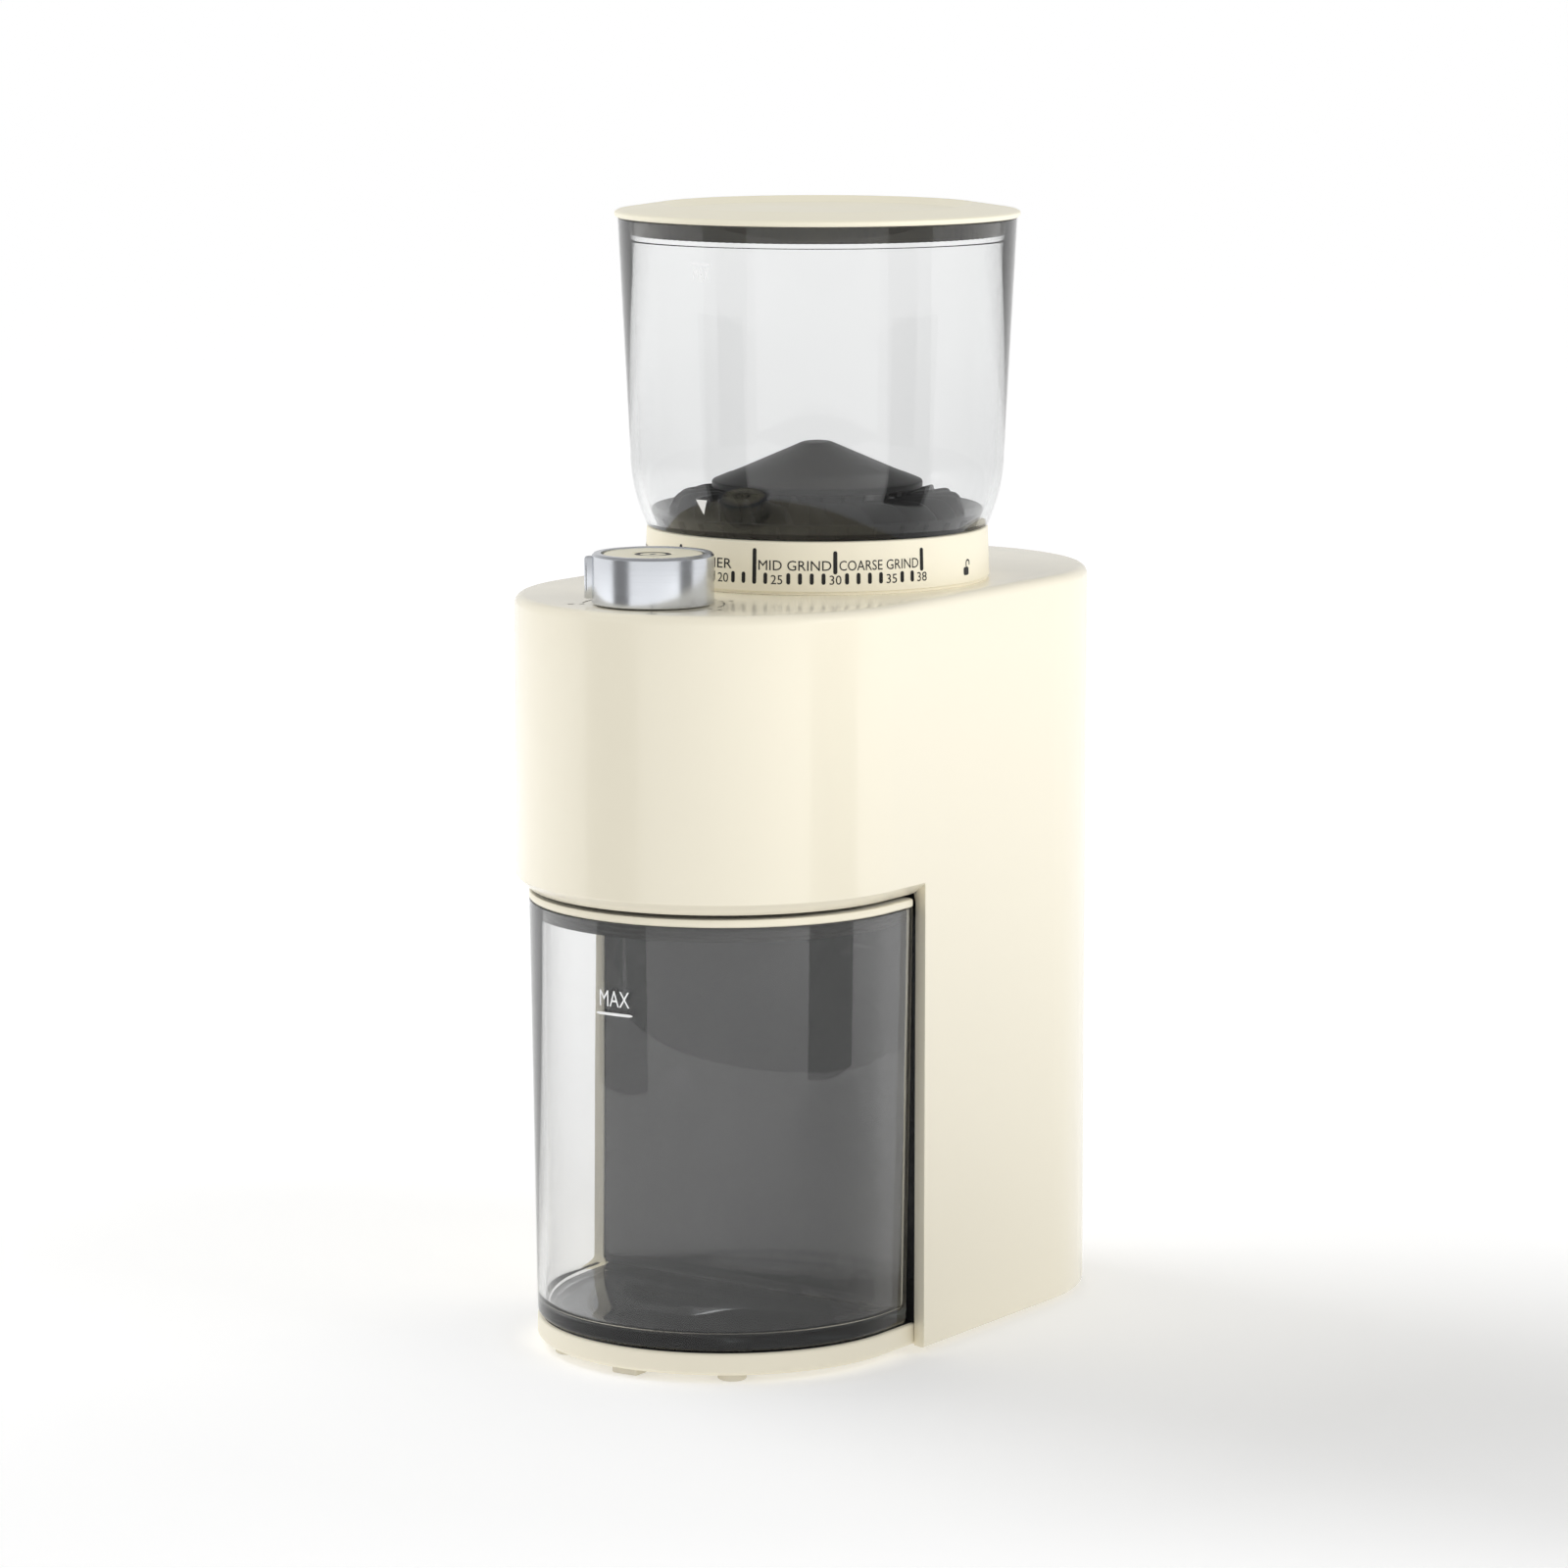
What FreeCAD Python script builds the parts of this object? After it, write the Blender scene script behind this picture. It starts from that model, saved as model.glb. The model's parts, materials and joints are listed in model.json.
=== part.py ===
"""Burr coffee grinder, as an assembly of separate pieces.

The frame has +Z up, the front (container side) towards -Y, and its origin on the surface the
grinder stands on, at the centre of the body.  All sizes are in millimetres.
"""
import FreeCAD, Part
import math
import os
import re

import Sketcher

# ---------------------------------------------------------------------------------------------
# Driving dimensions
# ---------------------------------------------------------------------------------------------
DIMENSIONS = {
    # body
    "half_width": 63.0,
    "half_length": 110.0,
    "deck_height": 232.6,
    "foot_reach": 2.3,
    "shell_wall": 2.5,
    "deck_round": 3.0,
    "lip_height": 143.0,
    "lip_bevel_in": 4.0,
    "lip_bevel_rise": 3.7,
    "bay_edge": 30.5,
    "bay_bevel_in": 4.6,
    "bay_bevel_back": 1.5,
    "flange_wall": 2.6,
    "liner_wall": 2.0,
    "fit_gap": 0.2,
    "slide_gap": 0.4,
    # base and feet
    "base_inset": 4.8,
    "base_front_inset": 6.5,
    "base_lift": 0.2,
    "base_top": 9.2,
    "base_wall": 2.4,
    "foot_radius": 4.4,
    "foot_seat": 1.6,
    "front_foot_x": 30.0,
    "rear_foot_x": 38.0,
    # grounds container
    "jar_inset": 2.9,
    "jar_taper": 1.9,
    "jar_wall": 2.2,
    "jar_floor": 4.0,
    "jar_lid_wall": 2.5,
    "jar_lid_gap": 1.3,
    "jar_gasket_depth": 4.7,
    "jar_gasket_wall": 2.0,
    # grinding axis, dial and hopper
    "axis_y": 5.9,
    "collar_radius": 53.5,
    "collar_height": 16.2,
    "collar_wall": 2.4,
    "collar_draft": 0.6,
    "hopper_gap": 0.4,
    "hopper_height": 94.8,
    "hopper_top_radius": 61.6,
    "hopper_waist_radius": 57.9,
    "hopper_waist_height": 22.4,
    "hopper_round": 52.0,
    "hopper_wall": 2.6,
    "hopper_ledge": 0.7,
    "lid_over": 1.0,
    "lid_rim": 2.1,
    "lid_rise": 3.9,
    "lid_crest_inset": 13.9,
    "lid_skirt": 5.2,
    "guard_radius": 32.7,
    "guard_rise": 12.3,
    "guard_height": 13.0,
    "throat_radius": 24.0,
    "fin_count": 24.0,
    "fin_reach": 46.0,
    "funnel_rim": 5.0,
    # knob and start button
    "knob_inset": 26.3,
    "knob_radius": 18.3,
    "knob_height": 14.1,
    "knob_gap": 1.4,
    "button_radius": 15.0,
    "button_travel": 1.5,
    # burr chamber
    "chamber_radius": 42.0,
    "chamber_wall": 3.4,
    "chamber_depth": 44.0,
    "chamber_floor": 3.0,
    "shaft_radius": 4.0,
    "run_gap": 0.05,
    "burr_height": 20.0,
    "cone_radius": 19.0,
    "burr_gap": 1.4,
    "ring_burr_radius": 27.0,
    # gearbox and motor
    "gear_one_module": 0.6,
    "gear_two_module": 0.8,
    "pinion_teeth": 16.0,
    "wheel_teeth": 64.0,
    "gear_face": 6.0,
    "gearbox_depth": 28.0,
    "gearbox_wall": 2.5,
    "motor_radius": 26.0,
    "motor_length": 62.0,
    "motor_wall": 1.6,
    "motor_shaft_radius": 2.0,
    # fasteners and boards
    "screw_radius": 1.5,
    "screw_head_radius": 2.9,
    "screw_head_height": 2.0,
    "board_wall": 1.6,
    "cord_hole_radius": 6.0,
}

doc = FreeCAD.newDocument("burr_coffee_grinder")
dims = doc.addObject("Spreadsheet::Sheet", "dims")
for row, (alias, size) in enumerate(DIMENSIONS.items(), 1):
    dims.set(f"A{row}", alias)
    dims.set(f"B{row}", str(size))
    dims.setAlias(f"B{row}", alias)
doc.recompute()

ALIAS = re.compile(r"(?<![\w.])(" + "|".join(sorted(DIMENSIONS, key=len, reverse=True)) + r")(?!\w)")

# Places that several pieces share, worked out from the driving dimensions.
STRAIGHT = "(half_length - half_width)"
DECK_UNDER = "(deck_height - shell_wall)"
BASE_BOTTOM = "(foot_reach + base_lift)"
BASE_RADIUS = "(half_width - base_inset)"
BASE_CENTRE = "(-(half_length - base_front_inset) + half_width - base_inset)"
FLANGE_BACK = "(-bay_edge + bay_bevel_back + flange_wall)"
LINER_FRONT = "(-bay_edge + bay_bevel_back + fit_gap)"
JAR_TOP = "(lip_height - jar_lid_gap - jar_lid_wall)"
JAR_BACK = "(-bay_edge - fit_gap)"
CHUTE_X = "14"
CHUTE_FRONT = "(axis_y - 78)"
CHUTE_BACK = "(axis_y - 54)"
COLLAR_TOP = "(deck_height + collar_height)"
HOPPER_BOTTOM = f"({COLLAR_TOP} + hopper_gap)"
FIN_TOP = f"({HOPPER_BOTTOM} + 9.8)"
HOPPER_TOP = f"({HOPPER_BOTTOM} + hopper_height)"
HOPPER_WAIST = f"({HOPPER_BOTTOM} + hopper_waist_height)"
CHAMBER_BOTTOM = f"({DECK_UNDER} - chamber_depth)"
CHAMBER_FLOOR = f"({CHAMBER_BOTTOM} + chamber_floor)"
CHAMBER_BORE = "(chamber_radius - chamber_wall)"
BURR_BOTTOM = f"({CHAMBER_FLOOR} + 13.5)"
BURR_TOP = f"({BURR_BOTTOM} + burr_height)"
GEARBOX_BOTTOM = f"({CHAMBER_BOTTOM} - gearbox_depth)"
STAGE_ONE_Z = f"({GEARBOX_BOTTOM} + gearbox_wall + 1.5)"
STAGE_TWO_Z = f"({STAGE_ONE_Z} + gear_face + 2)"
CENTRE_ONE = "(gear_one_module * (pinion_teeth + wheel_teeth) / 2)"
CENTRE_TWO = "(gear_two_module * (pinion_teeth + wheel_teeth) / 2)"
IDLER_Y = f"(axis_y + {CENTRE_TWO})"
MOTOR_Y = f"({IDLER_Y} + {CENTRE_ONE})"
MOTOR_BOTTOM = f"({GEARBOX_BOTTOM} - motor_length)"
KNOB_Y = "(-(half_length - knob_inset))"
KNOB_BOTTOM = "(deck_height + knob_gap)"
KNOB_TOP = f"({KNOB_BOTTOM} + knob_height)"
PANEL_Z = f"({DECK_UNDER} - 16)"
BOARD_Z = "(foot_reach + 16)"
THROAT_HOLE = "(chamber_radius + 3)"
RING_BORE = f"({THROAT_HOLE} - 0.4)"
RING_OUT = "(collar_radius - collar_wall - collar_draft - slide_gap)"
BORE_GAP = "(shaft_radius + run_gap)"


# ---------------------------------------------------------------------------------------------
# Helpers
# ---------------------------------------------------------------------------------------------
def bound(expression):
    """The expression with every dimension name pointing at the sheet."""
    return ALIAS.sub(r"dims.\1", str(expression))


def number(expression):
    """The value that an expression has now."""
    result = dims.evalExpression(bound(expression))
    return float(getattr(result, "Value", result))


def bind(thing, **expressions):
    """Tie properties to expressions; a double underscore in a name stands for a dot."""
    for name, expression in expressions.items():
        thing.setExpression(name.replace("__", "."), bound(expression))


def body(label, y="0", z="0", x="0"):
    """An empty body that stands at a place."""
    piece = doc.addObject("PartDesign::Body", label)
    piece.Label = label
    bind(piece, Placement__Base__x=x, Placement__Base__y=y, Placement__Base__z=z)
    return piece


def plane_of(piece, role):
    """One of the body's own origin planes."""
    return next(item for item in piece.Origin.OriginFeatures if item.Role == role)


def sketch_on(piece, level="0", role="XY_Plane"):
    """An empty sketch on an origin plane, moved along the plane's normal to a level."""
    sketch = piece.newObject("Sketcher::SketchObject", piece.Name + "_sketch")
    sketch.AttachmentSupport = [(plane_of(piece, role), "")]
    sketch.MapMode = "FlatFace"
    sketch.setExpression("AttachmentOffset.Base.z", bound(level))
    return sketch


def tie(sketch, kind, edge, end, expression):
    """Tie one coordinate of an edge's end to an expression."""
    size = number(expression)
    if abs(size) < 1e-9:
        axis = -2 if kind == "DistanceX" else -1
        sketch.addConstraint(Sketcher.Constraint("PointOnObject", edge, end, axis))
        return
    index = sketch.addConstraint(Sketcher.Constraint(kind, -1, 1, edge, end, size))
    sketch.setExpression(f"Constraints[{index}]", bound(expression))


def arc_between(start, end, radius):
    """The short arc between two points, anticlockwise for a positive radius."""
    middle = (start + end) * 0.5
    half = (end - start) * 0.5
    away = math.sqrt(max(radius * radius - half.Length ** 2, 0.0))
    left = FreeCAD.Vector(-half.y, half.x, 0).normalize()
    side = 1.0 if radius > 0 else -1.0
    centre = middle + left * (side * away)
    first, last = (start, end) if radius > 0 else (end, start)
    begin = math.atan2(first.y - centre.y, first.x - centre.x)
    finish = math.atan2(last.y - centre.y, last.x - centre.x)
    circle = Part.Circle(centre, FreeCAD.Vector(0, 0, 1), abs(radius))
    return Part.ArcOfCircle(circle, begin, finish)


def outline(sketch, corners):
    """A closed outline.  A corner is (across, up), or (across, up, radius) when an arc arrives
    at it: anticlockwise for a positive radius, clockwise for a negative one."""
    spots = [FreeCAD.Vector(number(corner[0]), number(corner[1]), 0) for corner in corners]
    first = sketch.GeometryCount
    ends = []
    for index, corner in enumerate(corners):
        start, end = spots[index - 1], spots[index]
        if len(corner) == 3:
            radius = number(corner[2])
            sketch.addGeometry(arc_between(start, end, radius))
            ends.append((1, 2) if radius > 0 else (2, 1))
        else:
            sketch.addGeometry(Part.LineSegment(start, end))
            ends.append((1, 2))
    count = len(corners)
    for index, corner in enumerate(corners):
        following = (index + 1) % count
        edge, after = first + index, first + following
        sketch.addConstraint(
            Sketcher.Constraint("Coincident", edge, ends[index][1], after, ends[following][0]))
        tie(sketch, "DistanceX", edge, ends[index][1], corner[0])
        tie(sketch, "DistanceY", edge, ends[index][1], corner[1])
        if len(corner) == 3:
            size = abs(number(corner[2]))
            row = sketch.addConstraint(Sketcher.Constraint("Radius", edge, size))
            sketch.setExpression(f"Constraints[{row}]", bound(f"abs({corner[2]})"))
    return sketch


def circles(sketch, rounds):
    """Circles, each (across, up, radius)."""
    for across, up, radius in rounds:
        centre = FreeCAD.Vector(number(across), number(up), 0)
        edge = sketch.addGeometry(Part.Circle(centre, FreeCAD.Vector(0, 0, 1), number(radius)))
        tie(sketch, "DistanceX", edge, 3, across)
        tie(sketch, "DistanceY", edge, 3, up)
        row = sketch.addConstraint(Sketcher.Constraint("Radius", edge, number(radius)))
        sketch.setExpression(f"Constraints[{row}]", bound(radius))
    return sketch


def box_corners(x_low, x_high, y_low, y_high):
    """The corners of an upright rectangle."""
    return [(x_low, y_low), (x_high, y_low), (x_high, y_high), (x_low, y_high)]


def stadium(radius, straight):
    """The body's plan: two half rounds joined by straight sides."""
    return [(f"-({radius})", straight), (f"-({radius})", f"-({straight})"),
            ("0", f"-({straight}) - ({radius})", radius), (radius, f"-({straight})", radius),
            (radius, straight), ("0", f"({straight}) + ({radius})", radius),
            (f"-({radius})", straight, radius)][1:]


def tongue(radius, centre, back):
    """A half round at the front with straight sides and a flat back."""
    return [(f"-({radius})", back), (f"-({radius})", centre),
            ("0", f"({centre}) - ({radius})", radius), (radius, centre, radius), (radius, back)]


def rear_tongue(radius, centre, front):
    """A half round at the rear with straight sides and a flat front."""
    return [(f"-({radius})", front), (radius, front), (radius, centre),
            ("0", f"({centre}) + ({radius})", radius), (f"-({radius})", centre, radius)]


def feature(piece, kind, sketch, **expressions):
    """A PartDesign feature made from a sketch, with the body's tip on it."""
    made = piece.newObject("PartDesign::" + kind, piece.Name + "_" + kind.lower())
    made.Profile = sketch
    bind(made, **expressions)
    sketch.Visibility = False
    return made


def pad(piece, corners, low, height, draw=outline):
    """Material from a level upwards."""
    return feature(piece, "Pad", draw(sketch_on(piece, low), corners), Length=height)


def pocket(piece, corners, low, height, draw=outline):
    """A cut from a level upwards."""
    doc.recompute()
    before = piece.Shape.Volume
    cut = feature(piece, "Pocket", draw(sketch_on(piece, low), corners), Length=height)
    cut.Reversed = True
    doc.recompute()
    if not piece.Shape.Volume < before - 1e-6:
        raise RuntimeError(f"{piece.Label}: a pocket cut nothing")
    return cut


def turn(piece, corners, kind="Revolution"):
    """A round solid, or a round cut, from a half profile of (radius, height)."""
    sketch = outline(sketch_on(piece, role="XZ_Plane"), corners)
    made = feature(piece, kind, sketch)
    made.ReferenceAxis = (sketch, ["V_Axis"])
    made.Angle = 360.0
    return made


def ring(piece, inner, outer, low, high):
    """A plain ring or, with an inner radius of 0, a disc."""
    return turn(piece, box_corners(inner, outer, low, high))


def polar(piece, cut, count):
    """Repeat a feature round the body's own upright axis."""
    pattern = piece.newObject("PartDesign::PolarPattern", piece.Name + "_pattern")
    pattern.Originals = [cut]
    pattern.Axis = (cut.Profile[0], ["N_Axis"])
    pattern.Angle = 360.0
    bind(pattern, Occurrences=count)
    piece.Tip = pattern
    return pattern


def edges_where(shape, test):
    """Names of the edges whose every sampled point passes a test."""
    names = []
    for index, edge in enumerate(shape.Edges, 1):
        spots = [edge.valueAt(edge.FirstParameter + share * (edge.LastParameter - edge.FirstParameter))
                 for share in (0.0, 0.5, 1.0)]
        if all(test(spot) for spot in spots):
            names.append(f"Edge{index}")
    return names


def dress(piece, kind, test, **expressions):
    """A Fillet or a Chamfer on the edges that pass a test."""
    doc.recompute()
    tip = piece.Tip
    names = edges_where(tip.Shape, test)
    if not names:
        raise RuntimeError(f"{piece.Label}: no edge for the {kind.lower()}")
    made = piece.newObject("PartDesign::" + kind, piece.Name + "_" + kind.lower())
    made.Base = (tip, names)
    bind(made, **expressions)
    return made


def cylinder(name, radius, height, x, y, z):
    """A parametric cylinder primitive."""
    made = doc.addObject("Part::Cylinder", name)
    bind(made, Radius=radius, Height=height, Placement__Base__x=x, Placement__Base__y=y,
         Placement__Base__z=z)
    return made


def screws(label, spots, length):
    """Pan-head screws with the head on top at each (x, y, z under the head)."""
    made = []
    for index, (x, y, z) in enumerate(spots, 1):
        head = cylinder(f"{label}_head_{index}", "screw_head_radius", "screw_head_height", x, y, z)
        shank = cylinder(f"{label}_shank_{index}", "screw_radius", length, x, y, f"{z} - ({length})")
        screw = doc.addObject("Part::MultiFuse", f"{label}_{index}")
        screw.Shapes = [head, shank]
        made.append(screw)
    return compound(label, made)


def screws_up(label, spots, length):
    """Pan-head screws driven upwards, with the head below each (x, y, z over the head)."""
    made = []
    for index, (x, y, z) in enumerate(spots, 1):
        head = cylinder(f"{label}_head_{index}", "screw_head_radius", "screw_head_height", x, y,
                        f"{z} - screw_head_height")
        shank = cylinder(f"{label}_shank_{index}", "screw_radius", length, x, y, z)
        screw = doc.addObject("Part::MultiFuse", f"{label}_{index}")
        screw.Shapes = [head, shank]
        made.append(screw)
    return compound(label, made)


def compound(label, members):
    """Separate solids that share one node."""
    group = doc.addObject("Part::Compound", label)
    group.Label = label
    group.Links = members
    return group


def mirrored_spots(x, y):
    """A place and its mirror image across the centre line."""
    return [(x, y), (f"-({x})", y)]


NODES = []


def node(piece):
    """Keep a finished piece for writing."""
    NODES.append(piece)
    return piece


# ---------------------------------------------------------------------------------------------
# Body, base and bay
# ---------------------------------------------------------------------------------------------
POST_OUT = f"(({THROAT_HOLE} + 5) / sqrt(2))"
DECK_POSTS = mirrored_spots(POST_OUT, f"axis_y + {POST_OUT}") + mirrored_spots(POST_OUT, f"axis_y - {POST_OUT}")
PANEL_POSTS = mirrored_spots("30", f"{KNOB_Y} - 1") + mirrored_spots("20", f"{KNOB_Y} + 24")
BASE_POST_REACH = "(half_width - shell_wall - 4.4)"
BASE_POSTS = (mirrored_spots(BASE_POST_REACH, "0")
              + mirrored_spots(f"{BASE_POST_REACH} / sqrt(2)", f"{STRAIGHT} + {BASE_POST_REACH} / sqrt(2)"))
BASE_POST_FOOT = f"({BASE_BOTTOM} + 5)"
BOARD_POSTS = mirrored_spots("31", "8") + mirrored_spots("31", "56")


def main_housing():
    """The one-piece outer shell: deck, round front, sides and round back, open below."""
    piece = body("main_housing")
    pad(piece, stadium("half_width", STRAIGHT), "foot_reach", "deck_height - foot_reach")
    top = number("deck_height")
    dress(piece, "Fillet", lambda spot: abs(spot.z - top) < 1e-6, Radius="deck_round")
    slope = "bay_bevel_back / bay_bevel_in"
    bay = [("-(half_width + 6)", f"-bay_edge - 6 * {slope}"),
           ("-(half_width + 6)", "-(half_length + 10)"),
           ("half_width + 6", "-(half_length + 10)"),
           ("half_width + 6", f"-bay_edge - 6 * {slope}"),
           ("half_width - bay_bevel_in", "-bay_edge + bay_bevel_back"),
           ("-(half_width - bay_bevel_in)", "-bay_edge + bay_bevel_back")]
    pocket(piece, bay, "foot_reach - 1", "lip_height - foot_reach + 1")
    lip = number("lip_height")
    back = number("-bay_edge")
    inside = number("half_width - 0.5 * bay_bevel_in")

    def on_lip(spot):
        return abs(spot.z - lip) < 1e-6 and spot.y < back + 1e-3 and (
            math.hypot(spot.x, min(spot.y + number(STRAIGHT), 0.0)) > inside)

    bevel = dress(piece, "Chamfer", on_lip, Size="lip_bevel_rise", Size2="lip_bevel_in")
    bevel.ChamferType = "Two distances"
    inner = "half_width - shell_wall"
    pocket(piece, stadium(inner, STRAIGHT), "lip_height + flange_wall + lip_bevel_rise",
           f"{DECK_UNDER} - lip_height - flange_wall - lip_bevel_rise")
    pocket(piece, tongue("half_width - lip_bevel_in", f"-{STRAIGHT}", FLANGE_BACK),
           "lip_height - 1", "flange_wall + lip_bevel_rise + 2")
    pocket(piece, rear_tongue(inner, STRAIGHT, FLANGE_BACK), "foot_reach - 1",
           "lip_height + flange_wall + lip_bevel_rise - foot_reach + 2")
    pocket(piece, box_corners("-(half_width - bay_bevel_in)", "half_width - bay_bevel_in",
                              "-(bay_edge + 3)", f"{FLANGE_BACK} + 1"),
           "foot_reach - 1", "lip_height - foot_reach + 2")
    pad(piece, [(x, y, "4") for x, y in DECK_POSTS], f"{DECK_UNDER} - 8", "8.5", circles)
    pad(piece, [(x, y, "3.4") for x, y in PANEL_POSTS], f"{PANEL_Z} + board_wall",
        f"{DECK_UNDER} - {PANEL_Z} - board_wall + 0.5", circles)
    pad(piece, [(x, y, "4.7") for x, y in BASE_POSTS], BASE_POST_FOOT, "26", circles)
    pocket(piece, [(x, y, "screw_radius + 0.1") for x, y in BASE_POSTS], f"{BASE_POST_FOOT} - 1", "12",
           circles)
    holes = [("0", "axis_y", THROAT_HOLE), ("0", KNOB_Y, "5.2")]
    pocket(piece, holes, f"{DECK_UNDER} - 1", "shell_wall + 3", circles)
    pocket(piece, [(x, y, "screw_radius + 0.1") for x, y in DECK_POSTS], f"{DECK_UNDER} - 9", "8",
           circles)
    pocket(piece, [(x, y, "screw_radius + 0.1") for x, y in PANEL_POSTS], f"{PANEL_Z} + 1", "9",
           circles)
    cord = circles(sketch_on(piece, "-(half_length - 12)", "XZ_Plane"),
                   [("0", "foot_reach + 14", "cord_hole_radius + fit_gap")])
    doc.recompute()
    before = piece.Shape.Volume
    hole = feature(piece, "Pocket", cord, Length="24")
    doc.recompute()
    if not piece.Shape.Volume < before - 1.0:
        hole.Reversed = True
        doc.recompute()
    node(piece)


def base_plate():
    """The platform under the container and, behind it, the cover that closes the shell."""
    piece = body("base_plate")
    pad(piece, tongue(BASE_RADIUS, BASE_CENTRE, FLANGE_BACK), BASE_BOTTOM, f"base_top - {BASE_BOTTOM}")
    pad(piece, rear_tongue("half_width - shell_wall - slide_gap", STRAIGHT, f"{FLANGE_BACK} + fit_gap"),
        BASE_BOTTOM, "base_wall")
    pad(piece, box_corners(f"-({BASE_RADIUS} - 6)", f"{BASE_RADIUS} - 6", f"{FLANGE_BACK} - 4",
                           f"{FLANGE_BACK} + 4"), BASE_BOTTOM, "base_wall")
    pocket(piece, tongue(f"{BASE_RADIUS} - base_wall", BASE_CENTRE, f"{FLANGE_BACK} - base_wall"),
           f"{BASE_BOTTOM} - 1", f"base_top - {BASE_BOTTOM} - base_wall + 1")
    seats = foot_spots()[:2]
    pad(piece, [(x, y, "foot_radius + 1.6") for x, y in seats],
        f"{BASE_BOTTOM} + foot_seat", f"base_top - {BASE_BOTTOM} - foot_seat - 1", circles)
    pad(piece, box_corners("-7", "7", "-(half_length - base_front_inset - 1)",
                           "-(half_length - base_front_inset - 12)"),
        f"{BASE_BOTTOM} + foot_seat", f"base_top - {BASE_BOTTOM} - foot_seat - 1")
    for offset in range(-3, 4):
        pocket(piece, box_corners(f"{offset * 7} - 1.3", f"{offset * 7} + 1.3",
                                  f"{MOTOR_Y} - 16", f"{MOTOR_Y} + 12"),
               f"{BASE_BOTTOM} - 1", "base_wall + 2")
    pad(piece, [(x, y, "3.9") for x, y in BASE_POSTS], BASE_BOTTOM, "4.8", circles)
    pocket(piece, [(x, y, "screw_radius + fit_gap") for x, y in BASE_POSTS],
           f"{BASE_BOTTOM} - 1", "8", circles)
    pocket(piece, [(x, y, "screw_head_radius + fit_gap") for x, y in BASE_POSTS],
           f"{BASE_BOTTOM} - 1", "3.6", circles)
    board_foot = f"{BASE_BOTTOM} + base_wall"
    pad(piece, [(x, y, "3.2") for x, y in BOARD_POSTS], f"{board_foot} - 0.5",
        f"{BOARD_Z} - ({board_foot}) + 0.5", circles)
    pocket(piece, [(x, y, "screw_radius + 0.1") for x, y in BOARD_POSTS], f"{BOARD_Z} - 8", "9", circles)
    node(piece)


def foot_spots():
    """Places of the four round feet: front pair, then rear pair."""
    front = f"{BASE_CENTRE} - sqrt(({BASE_RADIUS} - base_wall - foot_radius - 0.4)^2 - front_foot_x^2)"
    return mirrored_spots("front_foot_x", front) + mirrored_spots("rear_foot_x", "half_length - 34")


def feet():
    """Four round rubber feet and the square one at the front."""
    names = ("foot_front_right", "foot_front_left", "foot_rear_right", "foot_rear_left")
    for index, (label, (x, y)) in enumerate(zip(names, foot_spots())):
        piece = body(label, x=x, y=y)
        top = f"{BASE_BOTTOM} + foot_seat" if index < 2 else BASE_BOTTOM
        ring(piece, "0", "foot_radius", "0", top)
        dress(piece, "Fillet", lambda spot: abs(spot.z) < 1e-6, Radius="0.6")
        node(piece)
    piece = body("foot_front_centre")
    pad(piece, box_corners("-4.5", "4.5", "-(half_length - base_front_inset - 3)",
                           "-(half_length - base_front_inset - 9)"), "0", f"{BASE_BOTTOM} + foot_seat")
    node(piece)


def bay_liner():
    """The dark wall behind the container and the ceiling over it, in one moulding."""
    piece = body("bay_liner")
    side = "half_width - bay_bevel_in - fit_gap"
    low = "base_top + fit_gap"
    pad(piece, box_corners(f"-({side})", side, LINER_FRONT, f"{LINER_FRONT} + liner_wall"), low,
        f"lip_height + fit_gap + liner_wall - {low}")
    pad(piece, tongue("half_width - lip_bevel_in - fit_gap", f"-{STRAIGHT}",
                      f"{LINER_FRONT} + liner_wall"), "lip_height + fit_gap", "liner_wall")
    pocket(piece, box_corners(f"-({CHUTE_X} + fit_gap)", f"{CHUTE_X} + fit_gap",
                              f"{CHUTE_FRONT} - fit_gap", f"{CHUTE_BACK} + fit_gap"),
           "lip_height - 1", "liner_wall + 3")
    pocket(piece, box_corners("-3.2", "3.2", f"{LINER_FRONT} - 1", f"{LINER_FRONT} + liner_wall + 1"),
           "lip_height - 9.5", "5")
    node(piece)


def cord_gland():
    """The rubber gland in the back, where the supply cord goes in."""
    piece = body("cord_gland")
    levels = (("cord_hole_radius", "half_length - shell_wall - 3.3", "shell_wall + 3"),
              ("cord_hole_radius + 2", "half_length - shell_wall - 3.3", "2.4"))
    for radius, start, length in levels:
        disc = circles(sketch_on(piece, f"-({start})", "XZ_Plane"), [("0", "foot_reach + 14", radius)])
        made = feature(piece, "Pad", disc, Length=length)
        made.Reversed = True
    bore = circles(sketch_on(piece, "-(half_length - 12)", "XZ_Plane"), [("0", "foot_reach + 14", "3.4")])
    feature(piece, "Pocket", bore, Length="24")
    node(piece)


# ---------------------------------------------------------------------------------------------
# Grounds container
# ---------------------------------------------------------------------------------------------
def jar_outline(inset, share):
    """The container's plan at a share of its height, drawn in by an inset."""
    radius = f"(half_width - jar_inset - jar_taper * (1 - ({share})) - ({inset}))"
    back = f"({JAR_BACK} - ({inset}))"
    return tongue(radius, BASE_CENTRE, back)


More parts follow.
